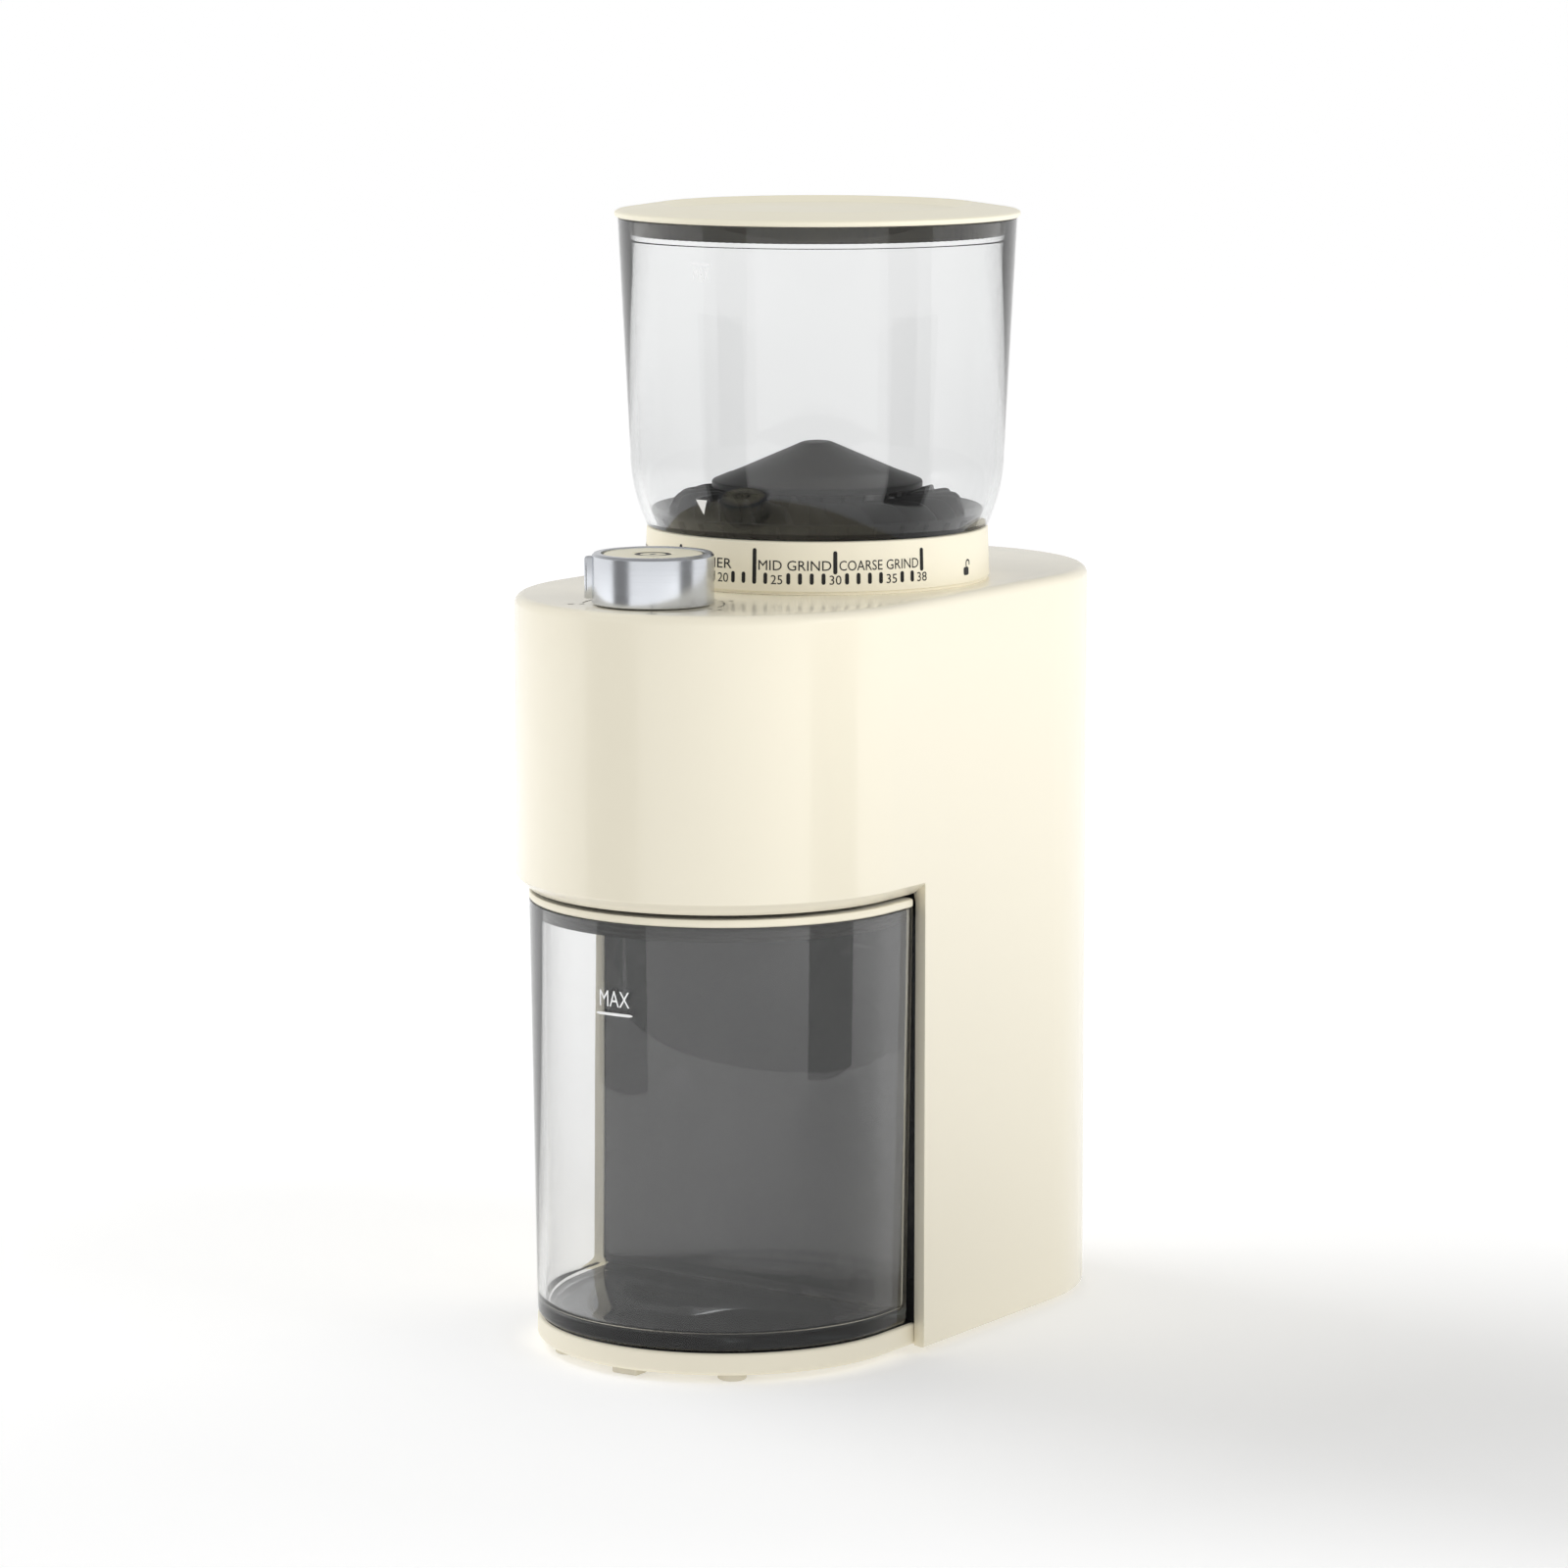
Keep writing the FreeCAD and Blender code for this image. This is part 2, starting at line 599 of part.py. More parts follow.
def grounds_container():
    """The clear container: half round in front, flat at the back, a little wider at the top."""
    piece = body("grounds_container")
    floor = "base_top + slide_gap"
    for kind, inset, low in (("AdditiveLoft", "0", floor),
                             ("SubtractiveLoft", "jar_wall", f"{floor} + jar_floor")):
        lower = outline(sketch_on(piece, low), jar_outline(inset, "0"))
        upper_level = JAR_TOP if inset == "0" else f"{JAR_TOP} + 0.01"
        upper = outline(sketch_on(piece, upper_level), jar_outline(inset, "1"))
        loft = piece.newObject("PartDesign::" + kind, piece.Name + "_" + kind.lower())
        loft.Profile = lower
        loft.Sections = [upper]
        loft.Ruled = True
        lower.Visibility = False
        upper.Visibility = False
        doc.recompute()
    node(piece)


def container_lid():
    """The container's lid, with the mouth that the grounds fall through."""
    piece = body("container_lid")
    pad(piece, jar_outline("0", "1"), JAR_TOP, "jar_lid_wall")
    pad(piece, jar_outline("jar_wall + jar_gasket_wall + fit_gap", "1"),
        f"{JAR_TOP} - jar_gasket_depth", "jar_gasket_depth + 0.5")
    pocket(piece, jar_outline("jar_wall + jar_gasket_wall + fit_gap + 1.8", "1"),
           f"{JAR_TOP} - jar_gasket_depth - 1", "jar_gasket_depth + 1")
    mouth = box_corners(f"-({CHUTE_X} + 2)", f"{CHUTE_X} + 2", f"{CHUTE_FRONT} - 2", f"{CHUTE_BACK} + 2")
    pocket(piece, mouth, f"{JAR_TOP} - 1", "jar_lid_wall + 2")
    node(piece)


def container_gasket():
    """The dark seal round the lid's skirt, inside the container's rim."""
    piece = body("container_gasket")
    low = f"{JAR_TOP} - jar_gasket_depth"
    pad(piece, jar_outline("jar_wall + fit_gap", "1 - jar_gasket_depth / lip_height"), low,
        "jar_gasket_depth")
    pocket(piece, jar_outline("jar_wall + fit_gap + jar_gasket_wall", "1"), f"{low} - 1",
           "jar_gasket_depth + 2")
    node(piece)


# ---------------------------------------------------------------------------------------------
# Dial, hopper and lid
# ---------------------------------------------------------------------------------------------
def hopper_radius(height, inset):
    """The curved foot of the hopper: its radius at a height, drawn in by an inset."""
    return (f"(hopper_waist_radius - hopper_round + sqrt((hopper_round - ({inset}))^2"
            f" - ({HOPPER_WAIST} - ({height}))^2))")


def dial_collar():
    """The fixed ring that carries the grind scale, standing on the deck."""
    piece = body("dial_collar", y="axis_y")
    low = "deck_height"
    inner = "collar_radius - collar_wall"
    turn(piece, [(inner, low), ("collar_radius - 0.5", low), ("collar_radius - 0.5", f"{low} + 0.9"),
                 ("collar_radius", f"{low} + 0.9"),
                 ("collar_radius - collar_draft", f"{COLLAR_TOP} - 0.6"),
                 ("collar_radius - collar_draft - 0.6", COLLAR_TOP),
                 ("collar_radius - collar_draft - collar_wall", COLLAR_TOP)])
    node(piece)


def hopper():
    """The clear bean hopper."""
    piece = body("hopper", y="axis_y")
    inner_waist = "hopper_waist_radius - hopper_wall"
    inner_top = "hopper_top_radius - hopper_wall"
    ledge = f"({HOPPER_TOP} - lid_skirt - 1.4)"
    share = f"(({ledge} - {HOPPER_WAIST}) / ({HOPPER_TOP} - {HOPPER_WAIST}))"
    at_ledge = f"({inner_waist} + (hopper_top_radius - hopper_waist_radius) * {share})"
    turn(piece, [(hopper_radius(HOPPER_BOTTOM, "hopper_wall"), HOPPER_BOTTOM,
                  "-(hopper_round - hopper_wall)"),
                 (hopper_radius(HOPPER_BOTTOM, "0"), HOPPER_BOTTOM),
                 ("hopper_waist_radius", HOPPER_WAIST, "hopper_round"),
                 ("hopper_top_radius", HOPPER_TOP),
                 (f"{inner_top} + hopper_ledge", HOPPER_TOP),
                 (f"{at_ledge} + hopper_ledge", ledge),
                 (at_ledge, ledge),
                 (inner_waist, HOPPER_WAIST)])
    node(piece)


def hopper_base():
    """The black funnel in the hopper's foot, with fins that hold the bean guard, and a keyed neck."""
    piece = body("hopper_base", y="axis_y")
    fit = "(hopper_wall + fit_gap)"
    rim = f"({HOPPER_BOTTOM} + funnel_rim)"
    floor = f"({HOPPER_BOTTOM} + 2)"
    neck_bottom = "(deck_height + 3)"
    throat_bottom = "(deck_height - 2.4)"
    neck = f"({RING_BORE} - slide_gap)"
    turn(piece, [("throat_radius", throat_bottom), ("throat_radius + 2", throat_bottom),
                 ("throat_radius + 2", f"{floor} - 3.2"), (f"{neck} - 3.4", f"{floor} - 3.2"),
                 (f"{neck} - 3.4", neck_bottom), (neck, neck_bottom), (neck, HOPPER_BOTTOM),
                 (hopper_radius(HOPPER_BOTTOM, fit), HOPPER_BOTTOM),
                 (hopper_radius(rim, fit), rim, f"hopper_round - {fit}"),
                 (f"{hopper_radius(rim, fit)} - 1.8", rim),
                 ("throat_radius + 20", f"{floor} + 0.8"),
                 ("throat_radius + 2", f"{floor} - 1.2"),
                 ("throat_radius", f"{floor} - 2")])
    fin = sketch_on(piece, f"{floor} - 1")
    outline(fin, box_corners("guard_radius - 7", "fin_reach", "-0.6", "0.6"))
    polar(piece, feature(piece, "Pad", fin, Length=f"{FIN_TOP} - {floor} + 1"), "fin_count")
    keyway = sketch_on(piece, f"{neck_bottom} - 1")
    outline(keyway, box_corners(f"{RING_BORE} - 2.5", f"{RING_BORE} + 1", "-3.4", "3.4"))
    doc.recompute()
    cut = feature(piece, "Pocket", keyway, Length=f"{COLLAR_TOP} - {neck_bottom} + 0.2")
    cut.Reversed = True
    polar(piece, cut, "3")
    node(piece)


def bean_guard():
    """The black cone over the throat that keeps the beans' weight, and fingers, off the burrs."""
    piece = body("bean_guard", y="axis_y")
    low = f"({HOPPER_BOTTOM} + guard_height)"
    apex = f"({low} + guard_rise)"
    turn(piece, [("0", f"{apex} - 2.2"), ("guard_radius - 2", f"{low} - 0.6"),
                 ("guard_radius", f"{low} - 1.6"), ("guard_radius", f"{low} + 0.2"),
                 ("guard_radius - 1.6", f"{low} + 1"), ("4.4", f"{apex} - 0.5"),
                 ("0", apex)])
    legs = sketch_on(piece, FIN_TOP)
    outline(legs, box_corners("guard_radius - 6", "guard_radius - 2.6", "-1.2", "1.2"))
    polar(piece, feature(piece, "Pad", legs, Length=f"{low} + 0.7 - {FIN_TOP}"), "4")
    node(piece)


def hopper_seal():
    """The soft ring that seals the hopper's throat on the burr carrier's mouth."""
    piece = body("hopper_seal", y="axis_y")
    ring(piece, "throat_radius + 2", "throat_radius + 5", "deck_height - 1.4", "deck_height + 1.6")
    node(piece)


def lid():
    """The hopper's lid: a raised rim falling inwards to a shallow dish."""
    piece = body("lid", y="axis_y")
    rim_top = f"({HOPPER_TOP} + lid_rim)"
    crest = f"({HOPPER_TOP} + lid_rise)"
    outer = "(hopper_top_radius + lid_over)"
    crest_radius = f"({outer} - lid_crest_inset)"
    skirt = "(hopper_top_radius - hopper_wall + hopper_ledge - 3.4)"
    turn(piece, [("0", f"{HOPPER_TOP} - 0.4"), (f"{skirt} - 1.8", f"{HOPPER_TOP} - 0.4"),
                 (f"{skirt} - 1.8", f"{HOPPER_TOP} - lid_skirt"), (skirt, f"{HOPPER_TOP} - lid_skirt"),
                 (skirt, f"{HOPPER_TOP} + fit_gap / 2"), (f"{outer} - 0.4", f"{HOPPER_TOP} + fit_gap / 2"),
                 (outer, f"{HOPPER_TOP} + 0.5"), (f"{outer}", f"{rim_top} - 0.6"),
                 (f"{outer} - 0.8", rim_top), (f"{crest_radius} + 1", crest),
                 (f"{crest_radius} - 0.6", crest), (f"{crest_radius} - 4.5", f"{crest} - 1.9"),
                 ("0", f"{crest} - 1.9")])
    node(piece)


def lid_gasket():
    """The ribbed seal round the lid's skirt."""
    piece = body("lid_gasket", y="axis_y")
    outer = "(hopper_top_radius - hopper_wall + hopper_ledge - 0.55)"
    ring(piece, f"{outer} - 2.7", outer, f"{HOPPER_TOP} - lid_skirt", f"{HOPPER_TOP} - 0.05")
    node(piece)


# ---------------------------------------------------------------------------------------------
# Selector knob, start button and control board
# ---------------------------------------------------------------------------------------------
def selector_knob():
    """The metal-look selector knob with its pointer, hollow for the start button."""
    piece = body("selector_knob", y=KNOB_Y)
    well = "(button_radius + fit_gap + 0.3)"
    turn(piece, [("3.15", f"{KNOB_BOTTOM} + 1"), ("6", f"{KNOB_BOTTOM} + 1"),
                 ("6", f"{KNOB_BOTTOM} + 5.5"), ("knob_radius - 1.8", f"{KNOB_BOTTOM} + 5.5"),
                 ("knob_radius - 1.8", KNOB_BOTTOM), ("knob_radius", KNOB_BOTTOM),
                 ("knob_radius", f"{KNOB_TOP} - 0.8"), ("knob_radius - 0.8", KNOB_TOP),
                 (well, KNOB_TOP), (well, f"{KNOB_BOTTOM} + 7.5"), ("3.15", f"{KNOB_BOTTOM} + 7.5")])
    fin = sketch_on(piece, f"{KNOB_BOTTOM} + 0.4")
    outline(fin, box_corners("-(knob_radius + 2.2)", "-(knob_radius - 1)", "-1.5", "1.5"))
    feature(piece, "Pad", fin, Length="knob_height - 1.4")
    piece.setExpression("Placement.Rotation.Angle", "33.5")
    node(piece)


def start_button():
    """The round push button in the knob, on a stem through the hollow shaft."""
    piece = body("start_button", y=KNOB_Y)
    top = f"({KNOB_TOP} - 0.3)"
    turn(piece, [("0", f"{DECK_UNDER} - 17.5"), ("1.7", f"{DECK_UNDER} - 17.5"),
                 ("1.7", f"{KNOB_BOTTOM} + 10.4"), ("button_radius - 1.6", f"{KNOB_BOTTOM} + 10.4"),
                 ("button_radius - 1.6", f"{KNOB_BOTTOM} + 9.6"), ("button_radius", f"{KNOB_BOTTOM} + 9.6"),
                 ("button_radius", f"{top} - 0.5"), ("button_radius - 0.5", top), ("0", top)])
    node(piece)


def button_spring():
    """The coil spring that lifts the button, as a plain tube of its outer size."""
    piece = body("button_spring", y=KNOB_Y)
    ring(piece, "6.6", "8.2", f"{KNOB_BOTTOM} + 7.55", f"{KNOB_BOTTOM} + 10.35")
    node(piece)


def selector_shaft():
    """The hollow shaft that the knob turns."""
    piece = body("selector_shaft", y=KNOB_Y)
    ring(piece, "2", "3.15", f"{PANEL_Z} + board_wall + 1", f"{KNOB_BOTTOM} + 7.4")
    node(piece)


def rotary_selector():
    """The body of the rotary selector on the control board."""
    piece = body("rotary_selector", y=KNOB_Y)
    pad(piece, box_corners("-7.5", "7.5", "-7.5", "7.5"), f"{PANEL_Z} + board_wall", "8")
    pocket(piece, [("0", "0", "3.2")], f"{PANEL_Z} + board_wall - 1", "10", circles)
    node(piece)


def panel_board():
    """The control board under the deck."""
    piece = body("panel_board")
    pad(piece, box_corners("-34", "34", f"{KNOB_Y} - 8", f"{KNOB_Y} + 30"), PANEL_Z, "board_wall")
    holes = [(x, y, "screw_radius + fit_gap") for x, y in PANEL_POSTS] + [("0", KNOB_Y, "2.2")]
    pocket(piece, holes, f"{PANEL_Z} - 1", "board_wall + 2", circles)
    node(piece)


def start_switch():
    """The push switch under the board, open above for its plunger."""
    piece = body("start_switch", y=KNOB_Y)
    pad(piece, box_corners("-4", "4", "-4", "4"), f"{PANEL_Z} - 8", "8")
    pocket(piece, [("0", "0", "2.2")], f"{PANEL_Z} - 6.5", "8", circles)
    node(piece)


def switch_plunger():
    """The plunger that the button's stem pushes."""
    piece = body("switch_plunger", y=KNOB_Y)
    ring(piece, "0", "1.9", f"{PANEL_Z} - 4.6", f"{DECK_UNDER} - 17.5")
    node(piece)


# ---------------------------------------------------------------------------------------------
# Burrs and chamber
# ---------------------------------------------------------------------------------------------
def adjusting_ring():
    """The ring in the collar that the hopper keys into, with fingers down to the burr carrier."""
    piece = body("adjusting_ring", y="axis_y")
    sleeve = f"({THROAT_HOLE} - slide_gap)"
    inner = f"({CHAMBER_BORE} - 4.8)"
    turn(piece, [(inner, "deck_height - 1.5"), (sleeve, "deck_height - 1.5"), (sleeve, "deck_height + 0.5"),
                 (RING_OUT, "deck_height + 0.5"), (RING_OUT, f"{COLLAR_TOP} - 1.6"),
                 (RING_BORE, f"{COLLAR_TOP} - 1.6"), (RING_BORE, "deck_height + 2"),
                 (inner, "deck_height + 2")])
    fingers = sketch_on(piece, f"{BURR_TOP} + 1")
    outline(fingers, box_corners(f"{CHAMBER_BORE} - 4.6", f"{CHAMBER_BORE} - 0.8", "-5", "5"))
    polar(piece, feature(piece, "Pad", fingers, Length=f"deck_height - {BURR_TOP} - 1"), "3")
    keys = sketch_on(piece, "deck_height + 1.5")
    outline(keys, box_corners(f"{RING_BORE} - 2.1", f"{RING_BORE} + 1", "-3", "3"))
    polar(piece, feature(piece, "Pad", keys, Length="collar_height - 4"), "3")
    node(piece)


def burr_carrier():
    """The carrier that holds the ring burr and climbs in the chamber as the hopper turns."""
    piece = body("burr_carrier", y="axis_y")
    outer = f"({CHAMBER_BORE} - 0.4)"
    turn(piece, [("ring_burr_radius", f"{BURR_BOTTOM} + 4"), ("ring_burr_radius", f"{BURR_TOP} - 2"),
                 (f"{outer} - 6", f"{BURR_TOP} + 3"), (f"{outer} - 6", f"{BURR_TOP} + 5"),
                 (outer, f"{BURR_TOP} + 5"), (outer, f"{BURR_BOTTOM} + 4")][::-1])
    slot = sketch_on(piece, f"{BURR_TOP} - 1.2")
    outline(slot, box_corners(f"{CHAMBER_BORE} - 5", f"{outer} + 1", "-5.3", "5.3"))
    doc.recompute()
    cut = feature(piece, "Pocket", slot, Length="10")
    cut.Reversed = True
    polar(piece, cut, "3")
    node(piece)


def flutes(piece, radius_low, radius_high, low, depth, width, count):
    """Straight cutting flutes round a burr."""
    sketch = sketch_on(piece, low)
    outline(sketch, [(radius_low, f"-({width}) / 2"), (radius_high, f"-({width}) / 2"),
                     (radius_high, f"({width}) / 2"), (radius_low, f"({width}) / 2")])
    doc.recompute()
    before = piece.Shape.Volume
    cut = feature(piece, "Pocket", sketch, Length=depth)
    cut.Reversed = True
    polar(piece, cut, count)
    doc.recompute()
    if not piece.Shape.Volume < before - 1.0:
        raise RuntimeError(f"{piece.Label}: the flutes cut nothing")


def ring_burr():
    """The fixed outer burr, a toothed funnel of hard steel."""
    piece = body("ring_burr", y="axis_y")
    turn(piece, [("cone_radius + burr_gap", BURR_BOTTOM), ("ring_burr_radius", BURR_BOTTOM),
                 ("ring_burr_radius", f"{BURR_TOP} - 2.2"), ("ring_burr_radius - 3", f"{BURR_TOP} - 2.2"),
                 ("cone_radius + burr_gap - 1.5", f"{BURR_BOTTOM} + 9")])
    flutes(piece, "cone_radius - 3", "cone_radius + burr_gap + 1.2", f"{BURR_BOTTOM} + 6",
           "burr_height", "1.6", "24")
    node(piece)


def cone_burr():
    """The turning inner burr, a toothed cone of hard steel on the shaft."""
    piece = body("cone_burr", y="axis_y")
    turn(piece, [(BORE_GAP, BURR_BOTTOM), ("cone_radius", BURR_BOTTOM), ("cone_radius", f"{BURR_BOTTOM} + 2"),
                 ("cone_radius - 8.5", f"{BURR_TOP} - 1"), (BORE_GAP, f"{BURR_TOP} - 1")])
    flutes(piece, "cone_radius - 3.5", "cone_radius + 2", f"{BURR_BOTTOM} + 2.5", "burr_height", "1.6", "18")
    node(piece)


def burr_nut():
    """The nut that clamps the cone burr on the shaft."""
    piece = body("burr_nut", y="axis_y")
    corner = "(2 * shaft_radius)"
    half = f"({corner} * sqrt(3) / 2)"
    hexagon = [(corner, "0"), ("shaft_radius", half), ("-shaft_radius", half), (f"-{corner}", "0"),
               ("-shaft_radius", f"-{half}"), ("shaft_radius", f"-{half}")]
    pad(piece, hexagon, f"{BURR_TOP} - 0.95", "4")
    pocket(piece, [("0", "0", BORE_GAP)], f"{BURR_TOP} - 3", "10", circles)
    node(piece)


def sweeper():
    """The paddle wheel under the cone burr that sweeps the grounds to the chute."""
    piece = body("sweeper", y="axis_y")
    low = f"({CHAMBER_FLOOR} + 1)"
    radius = f"({CHAMBER_BORE} - 1.2)"
    ring(piece, BORE_GAP, "cone_radius", low, f"{BURR_BOTTOM} - 0.05")
    ring(piece, "cone_radius - 1", f"{radius} - 3", low, f"{low} + 1.8")
    paddle = sketch_on(piece, low)
    outline(paddle, box_corners("cone_radius - 2", radius, "-1.2", "1.2"))
    polar(piece, feature(piece, "Pad", paddle, Length="8.5"), "4")
    node(piece)


def burr_shaft():
    """The shaft that carries the output gear, the sweeper and the cone burr."""
    piece = body("burr_shaft", y="axis_y")
    ring(piece, "0", "shaft_radius", f"{GEARBOX_BOTTOM} + 0.6", f"{BURR_TOP} + 4")
    node(piece)


def burr_chamber():
    """The fixed chamber round the burrs, with a side outlet to the chute."""
    piece = body("burr_chamber", y="axis_y")
    flange = f"({THROAT_HOLE} + 9.5)"
    turn(piece, [("9.2", CHAMBER_BOTTOM), ("chamber_radius", CHAMBER_BOTTOM),
                 ("chamber_radius", f"{DECK_UNDER} - 12"), (flange, f"{DECK_UNDER} - 12"),
                 (flange, f"{DECK_UNDER} - 8"), ("chamber_radius", f"{DECK_UNDER} - 8"),
                 ("chamber_radius", f"{DECK_UNDER} - 0.1"), (CHAMBER_BORE, f"{DECK_UNDER} - 0.1"),
                 (CHAMBER_BORE, CHAMBER_FLOOR), ("9.2", CHAMBER_FLOOR)])
    holes = [(x, f"({y}) - axis_y", "screw_radius + fit_gap") for x, y in DECK_POSTS]
    pocket(piece, holes, f"{DECK_UNDER} - 14", "10", circles)
    below = [(x, f"({y}) - axis_y", "screw_radius + 0.1") for x, y in GEARBOX_BOSSES]
    pocket(piece, below, f"{CHAMBER_BOTTOM} - 1", "chamber_floor + 0.5", circles)
    pocket(piece, box_corners("-12", "12", "-60", "-20"), CHAMBER_FLOOR, "11.5")
    node(piece)


def shaft_bearings():
    """The two bushes that the burr shaft runs in."""
    piece = body("upper_shaft_bush", y="axis_y")
    ring(piece, BORE_GAP, "9.2", CHAMBER_BOTTOM, CHAMBER_FLOOR)
    node(piece)
    piece = body("lower_shaft_bush", y="axis_y")
    ring(piece, BORE_GAP, "7.5", f"{GEARBOX_BOTTOM} + 0.6", f"{GEARBOX_BOTTOM} + gearbox_wall + 1")
    node(piece)


def grounds_chute():
    """The duct from the chamber's outlet down to the container's mouth."""
    piece = body("grounds_chute")
    start = "(axis_y - chamber_radius - fit_gap + 1.5)"
    wall = "2"
    high = f"({CHAMBER_FLOOR} + 13.5)"
    outer = [(start, high), (f"{CHUTE_FRONT} + 10", high), (CHUTE_FRONT, f"{high} - 16"),
             (CHUTE_FRONT, "lip_height + fit_gap"), (CHUTE_BACK, "lip_height + fit_gap"),
             (CHUTE_BACK, f"{CHAMBER_FLOOR} - 9"), (start, f"{CHAMBER_FLOOR} - 2")]
    inner = [(f"{start} + 5", f"{high} - {wall}"), (f"{CHUTE_FRONT} + 10.8", f"{high} - {wall}"),
             (f"{CHUTE_FRONT} + {wall}", f"{high} - 16.8"), (f"{CHUTE_FRONT} + {wall}", "lip_height - 3"),
             (f"{CHUTE_BACK} - {wall}", "lip_height - 3"), (f"{CHUTE_BACK} - {wall}", f"{CHAMBER_FLOOR} - 7.4"),
             (start, CHAMBER_FLOOR), (f"{start} + 5", CHAMBER_FLOOR)]
    shell = feature(piece, "Pad", outline(sketch_on(piece, "0", "YZ_Plane"), outer), Length=f"2 * {CHUTE_X}")
    shell.Midplane = True
    doc.recompute()
    hollow = feature(piece, "Pocket", outline(sketch_on(piece, "0", "YZ_Plane"), inner), Length="24")
    hollow.Midplane = True
    doc.recompute()
    chamber = circles(sketch_on(piece, f"{CHAMBER_FLOOR} - 20"), [("0", "axis_y", "chamber_radius + fit_gap")])
    cut = feature(piece, "Pocket", chamber, Length="50")
    cut.Reversed = True
    node(piece)


# ---------------------------------------------------------------------------------------------
# Gearbox and motor
# ---------------------------------------------------------------------------------------------
def gearbox_plan(radius_in, radius_out, extra):
    """Plan of the gearbox: half rounds round the burr shaft and the motor shaft."""
    wide = f"({radius_in} + {extra})"
    narrow = f"({radius_out} + {extra})"
    return [(f"-{wide}", "axis_y"), ("0", f"axis_y - {wide}", wide), (wide, "axis_y", wide),
            (wide, IDLER_Y), (narrow, MOTOR_Y), ("0", f"{MOTOR_Y} + {narrow}", narrow),
            (f"-{narrow}", MOTOR_Y, narrow), (f"-{wide}", IDLER_Y)]


WHEEL_ROOM = "(gear_two_module * (wheel_teeth / 2 + 1) + 1.2)"
CORNER = f"(({WHEEL_ROOM} + gearbox_wall + 2.5) / sqrt(2))"
GEARBOX_BOSSES = (mirrored_spots(f"{WHEEL_ROOM} - 3.1", f"{IDLER_Y} - 4")
                  + mirrored_spots(CORNER, f"axis_y - {CORNER}"))
MOTOR_ROOM = "15"


def gearbox_tray():
    """The gearbox's lower half: floor, walls, shaft seats and the motor's face."""
    piece = body("gearbox_tray")
    depth = "(gearbox_depth - gearbox_wall)"
    pad(piece, gearbox_plan(WHEEL_ROOM, MOTOR_ROOM, "gearbox_wall"), GEARBOX_BOTTOM, depth)
    pocket(piece, gearbox_plan(WHEEL_ROOM, MOTOR_ROOM, "0"), f"{GEARBOX_BOTTOM} + gearbox_wall", depth)
    pad(piece, [(x, y, "3.6") for x, y in GEARBOX_BOSSES], GEARBOX_BOTTOM, depth, circles)
    pocket(piece, [(x, y, "screw_radius + fit_gap") for x, y in GEARBOX_BOSSES], f"{GEARBOX_BOTTOM} - 1",
           "gearbox_depth + 2", circles)
    pocket(piece, [("0", "axis_y", "7.5")], f"{GEARBOX_BOTTOM} + 0.6", "20", circles)
    pocket(piece, [("0", IDLER_Y, "2")], f"{GEARBOX_BOTTOM} + 0.5", "20", circles)
    pocket(piece, [("0", MOTOR_Y, "7"), ("10", MOTOR_Y, "1.7"), ("-10", MOTOR_Y, "1.7")],
           f"{GEARBOX_BOTTOM} - 1", "20", circles)
    node(piece)


def gearbox_cover():
    """The gearbox's lid, which the burr chamber stands on."""
    piece = body("gearbox_cover")
    low = f"({CHAMBER_BOTTOM} - gearbox_wall)"
    pad(piece, gearbox_plan(WHEEL_ROOM, MOTOR_ROOM, "gearbox_wall"), low, "gearbox_wall")
    pad(piece, [(x, y, "3.6") for x, y in GEARBOX_BOSSES], low, "gearbox_wall", circles)
    pocket(piece, [(x, y, "screw_radius + fit_gap") for x, y in GEARBOX_BOSSES], f"{low} - 1", "10", circles)
    pocket(piece, [("0", "axis_y", "shaft_radius + 1")], f"{low} - 1", "20", circles)
    pocket(piece, [("0", IDLER_Y, "2")], f"{low} - 1", "20", circles)
    node(piece)


def tooth_outline(module, teeth, phase):
    """The closed outline of an involute spur gear with a little backlash."""
    pressure = math.radians(20)
    backlash = 0.10
    pitch = module * teeth / 2
    base = pitch * math.cos(pressure)
    tip = pitch + module
    root = pitch - 1.25 * module
    start = max(base, root)
    half_tooth = (math.pi * module / 2 - backlash) / (2 * pitch)
    spread = math.tan(pressure) - pressure
    points = []
    for tooth in range(teeth):
        middle = phase + 2 * math.pi * tooth / teeth
        flank = []
        for step in range(5):
            radius = start + (tip - start) * step / 4
            roll = math.acos(min(base / radius, 1.0))
            flank.append((radius, half_tooth + spread - (math.tan(roll) - roll)))
        rising = [(root, flank[0][1])] + flank
        for radius, away in rising:
            points.append((radius, middle - away))
        for radius, away in reversed(rising):
            points.append((radius, middle + away))
    return [FreeCAD.Vector(r * math.cos(angle), r * math.sin(angle), 0) for r, angle in points]


def gear_solid(module, teeth, phase, low, height):
    """An involute gear blank from its outline, standing on a level."""
    level = FreeCAD.Vector(0, 0, low)
    points = [point + level for point in tooth_outline(module, int(teeth), phase)]
    wire = Part.makePolygon(points + points[:1])
    return Part.Face(wire).extrude(FreeCAD.Vector(0, 0, height))


def gear_feature(label, solid, y):
    """A gear as a piece of its own."""
    piece = doc.addObject("Part::Feature", label)
    piece.Label = label
    piece.Shape = solid
    piece.Placement = FreeCAD.Placement(FreeCAD.Vector(0, number(y), 0), FreeCAD.Rotation())
    return node(piece)


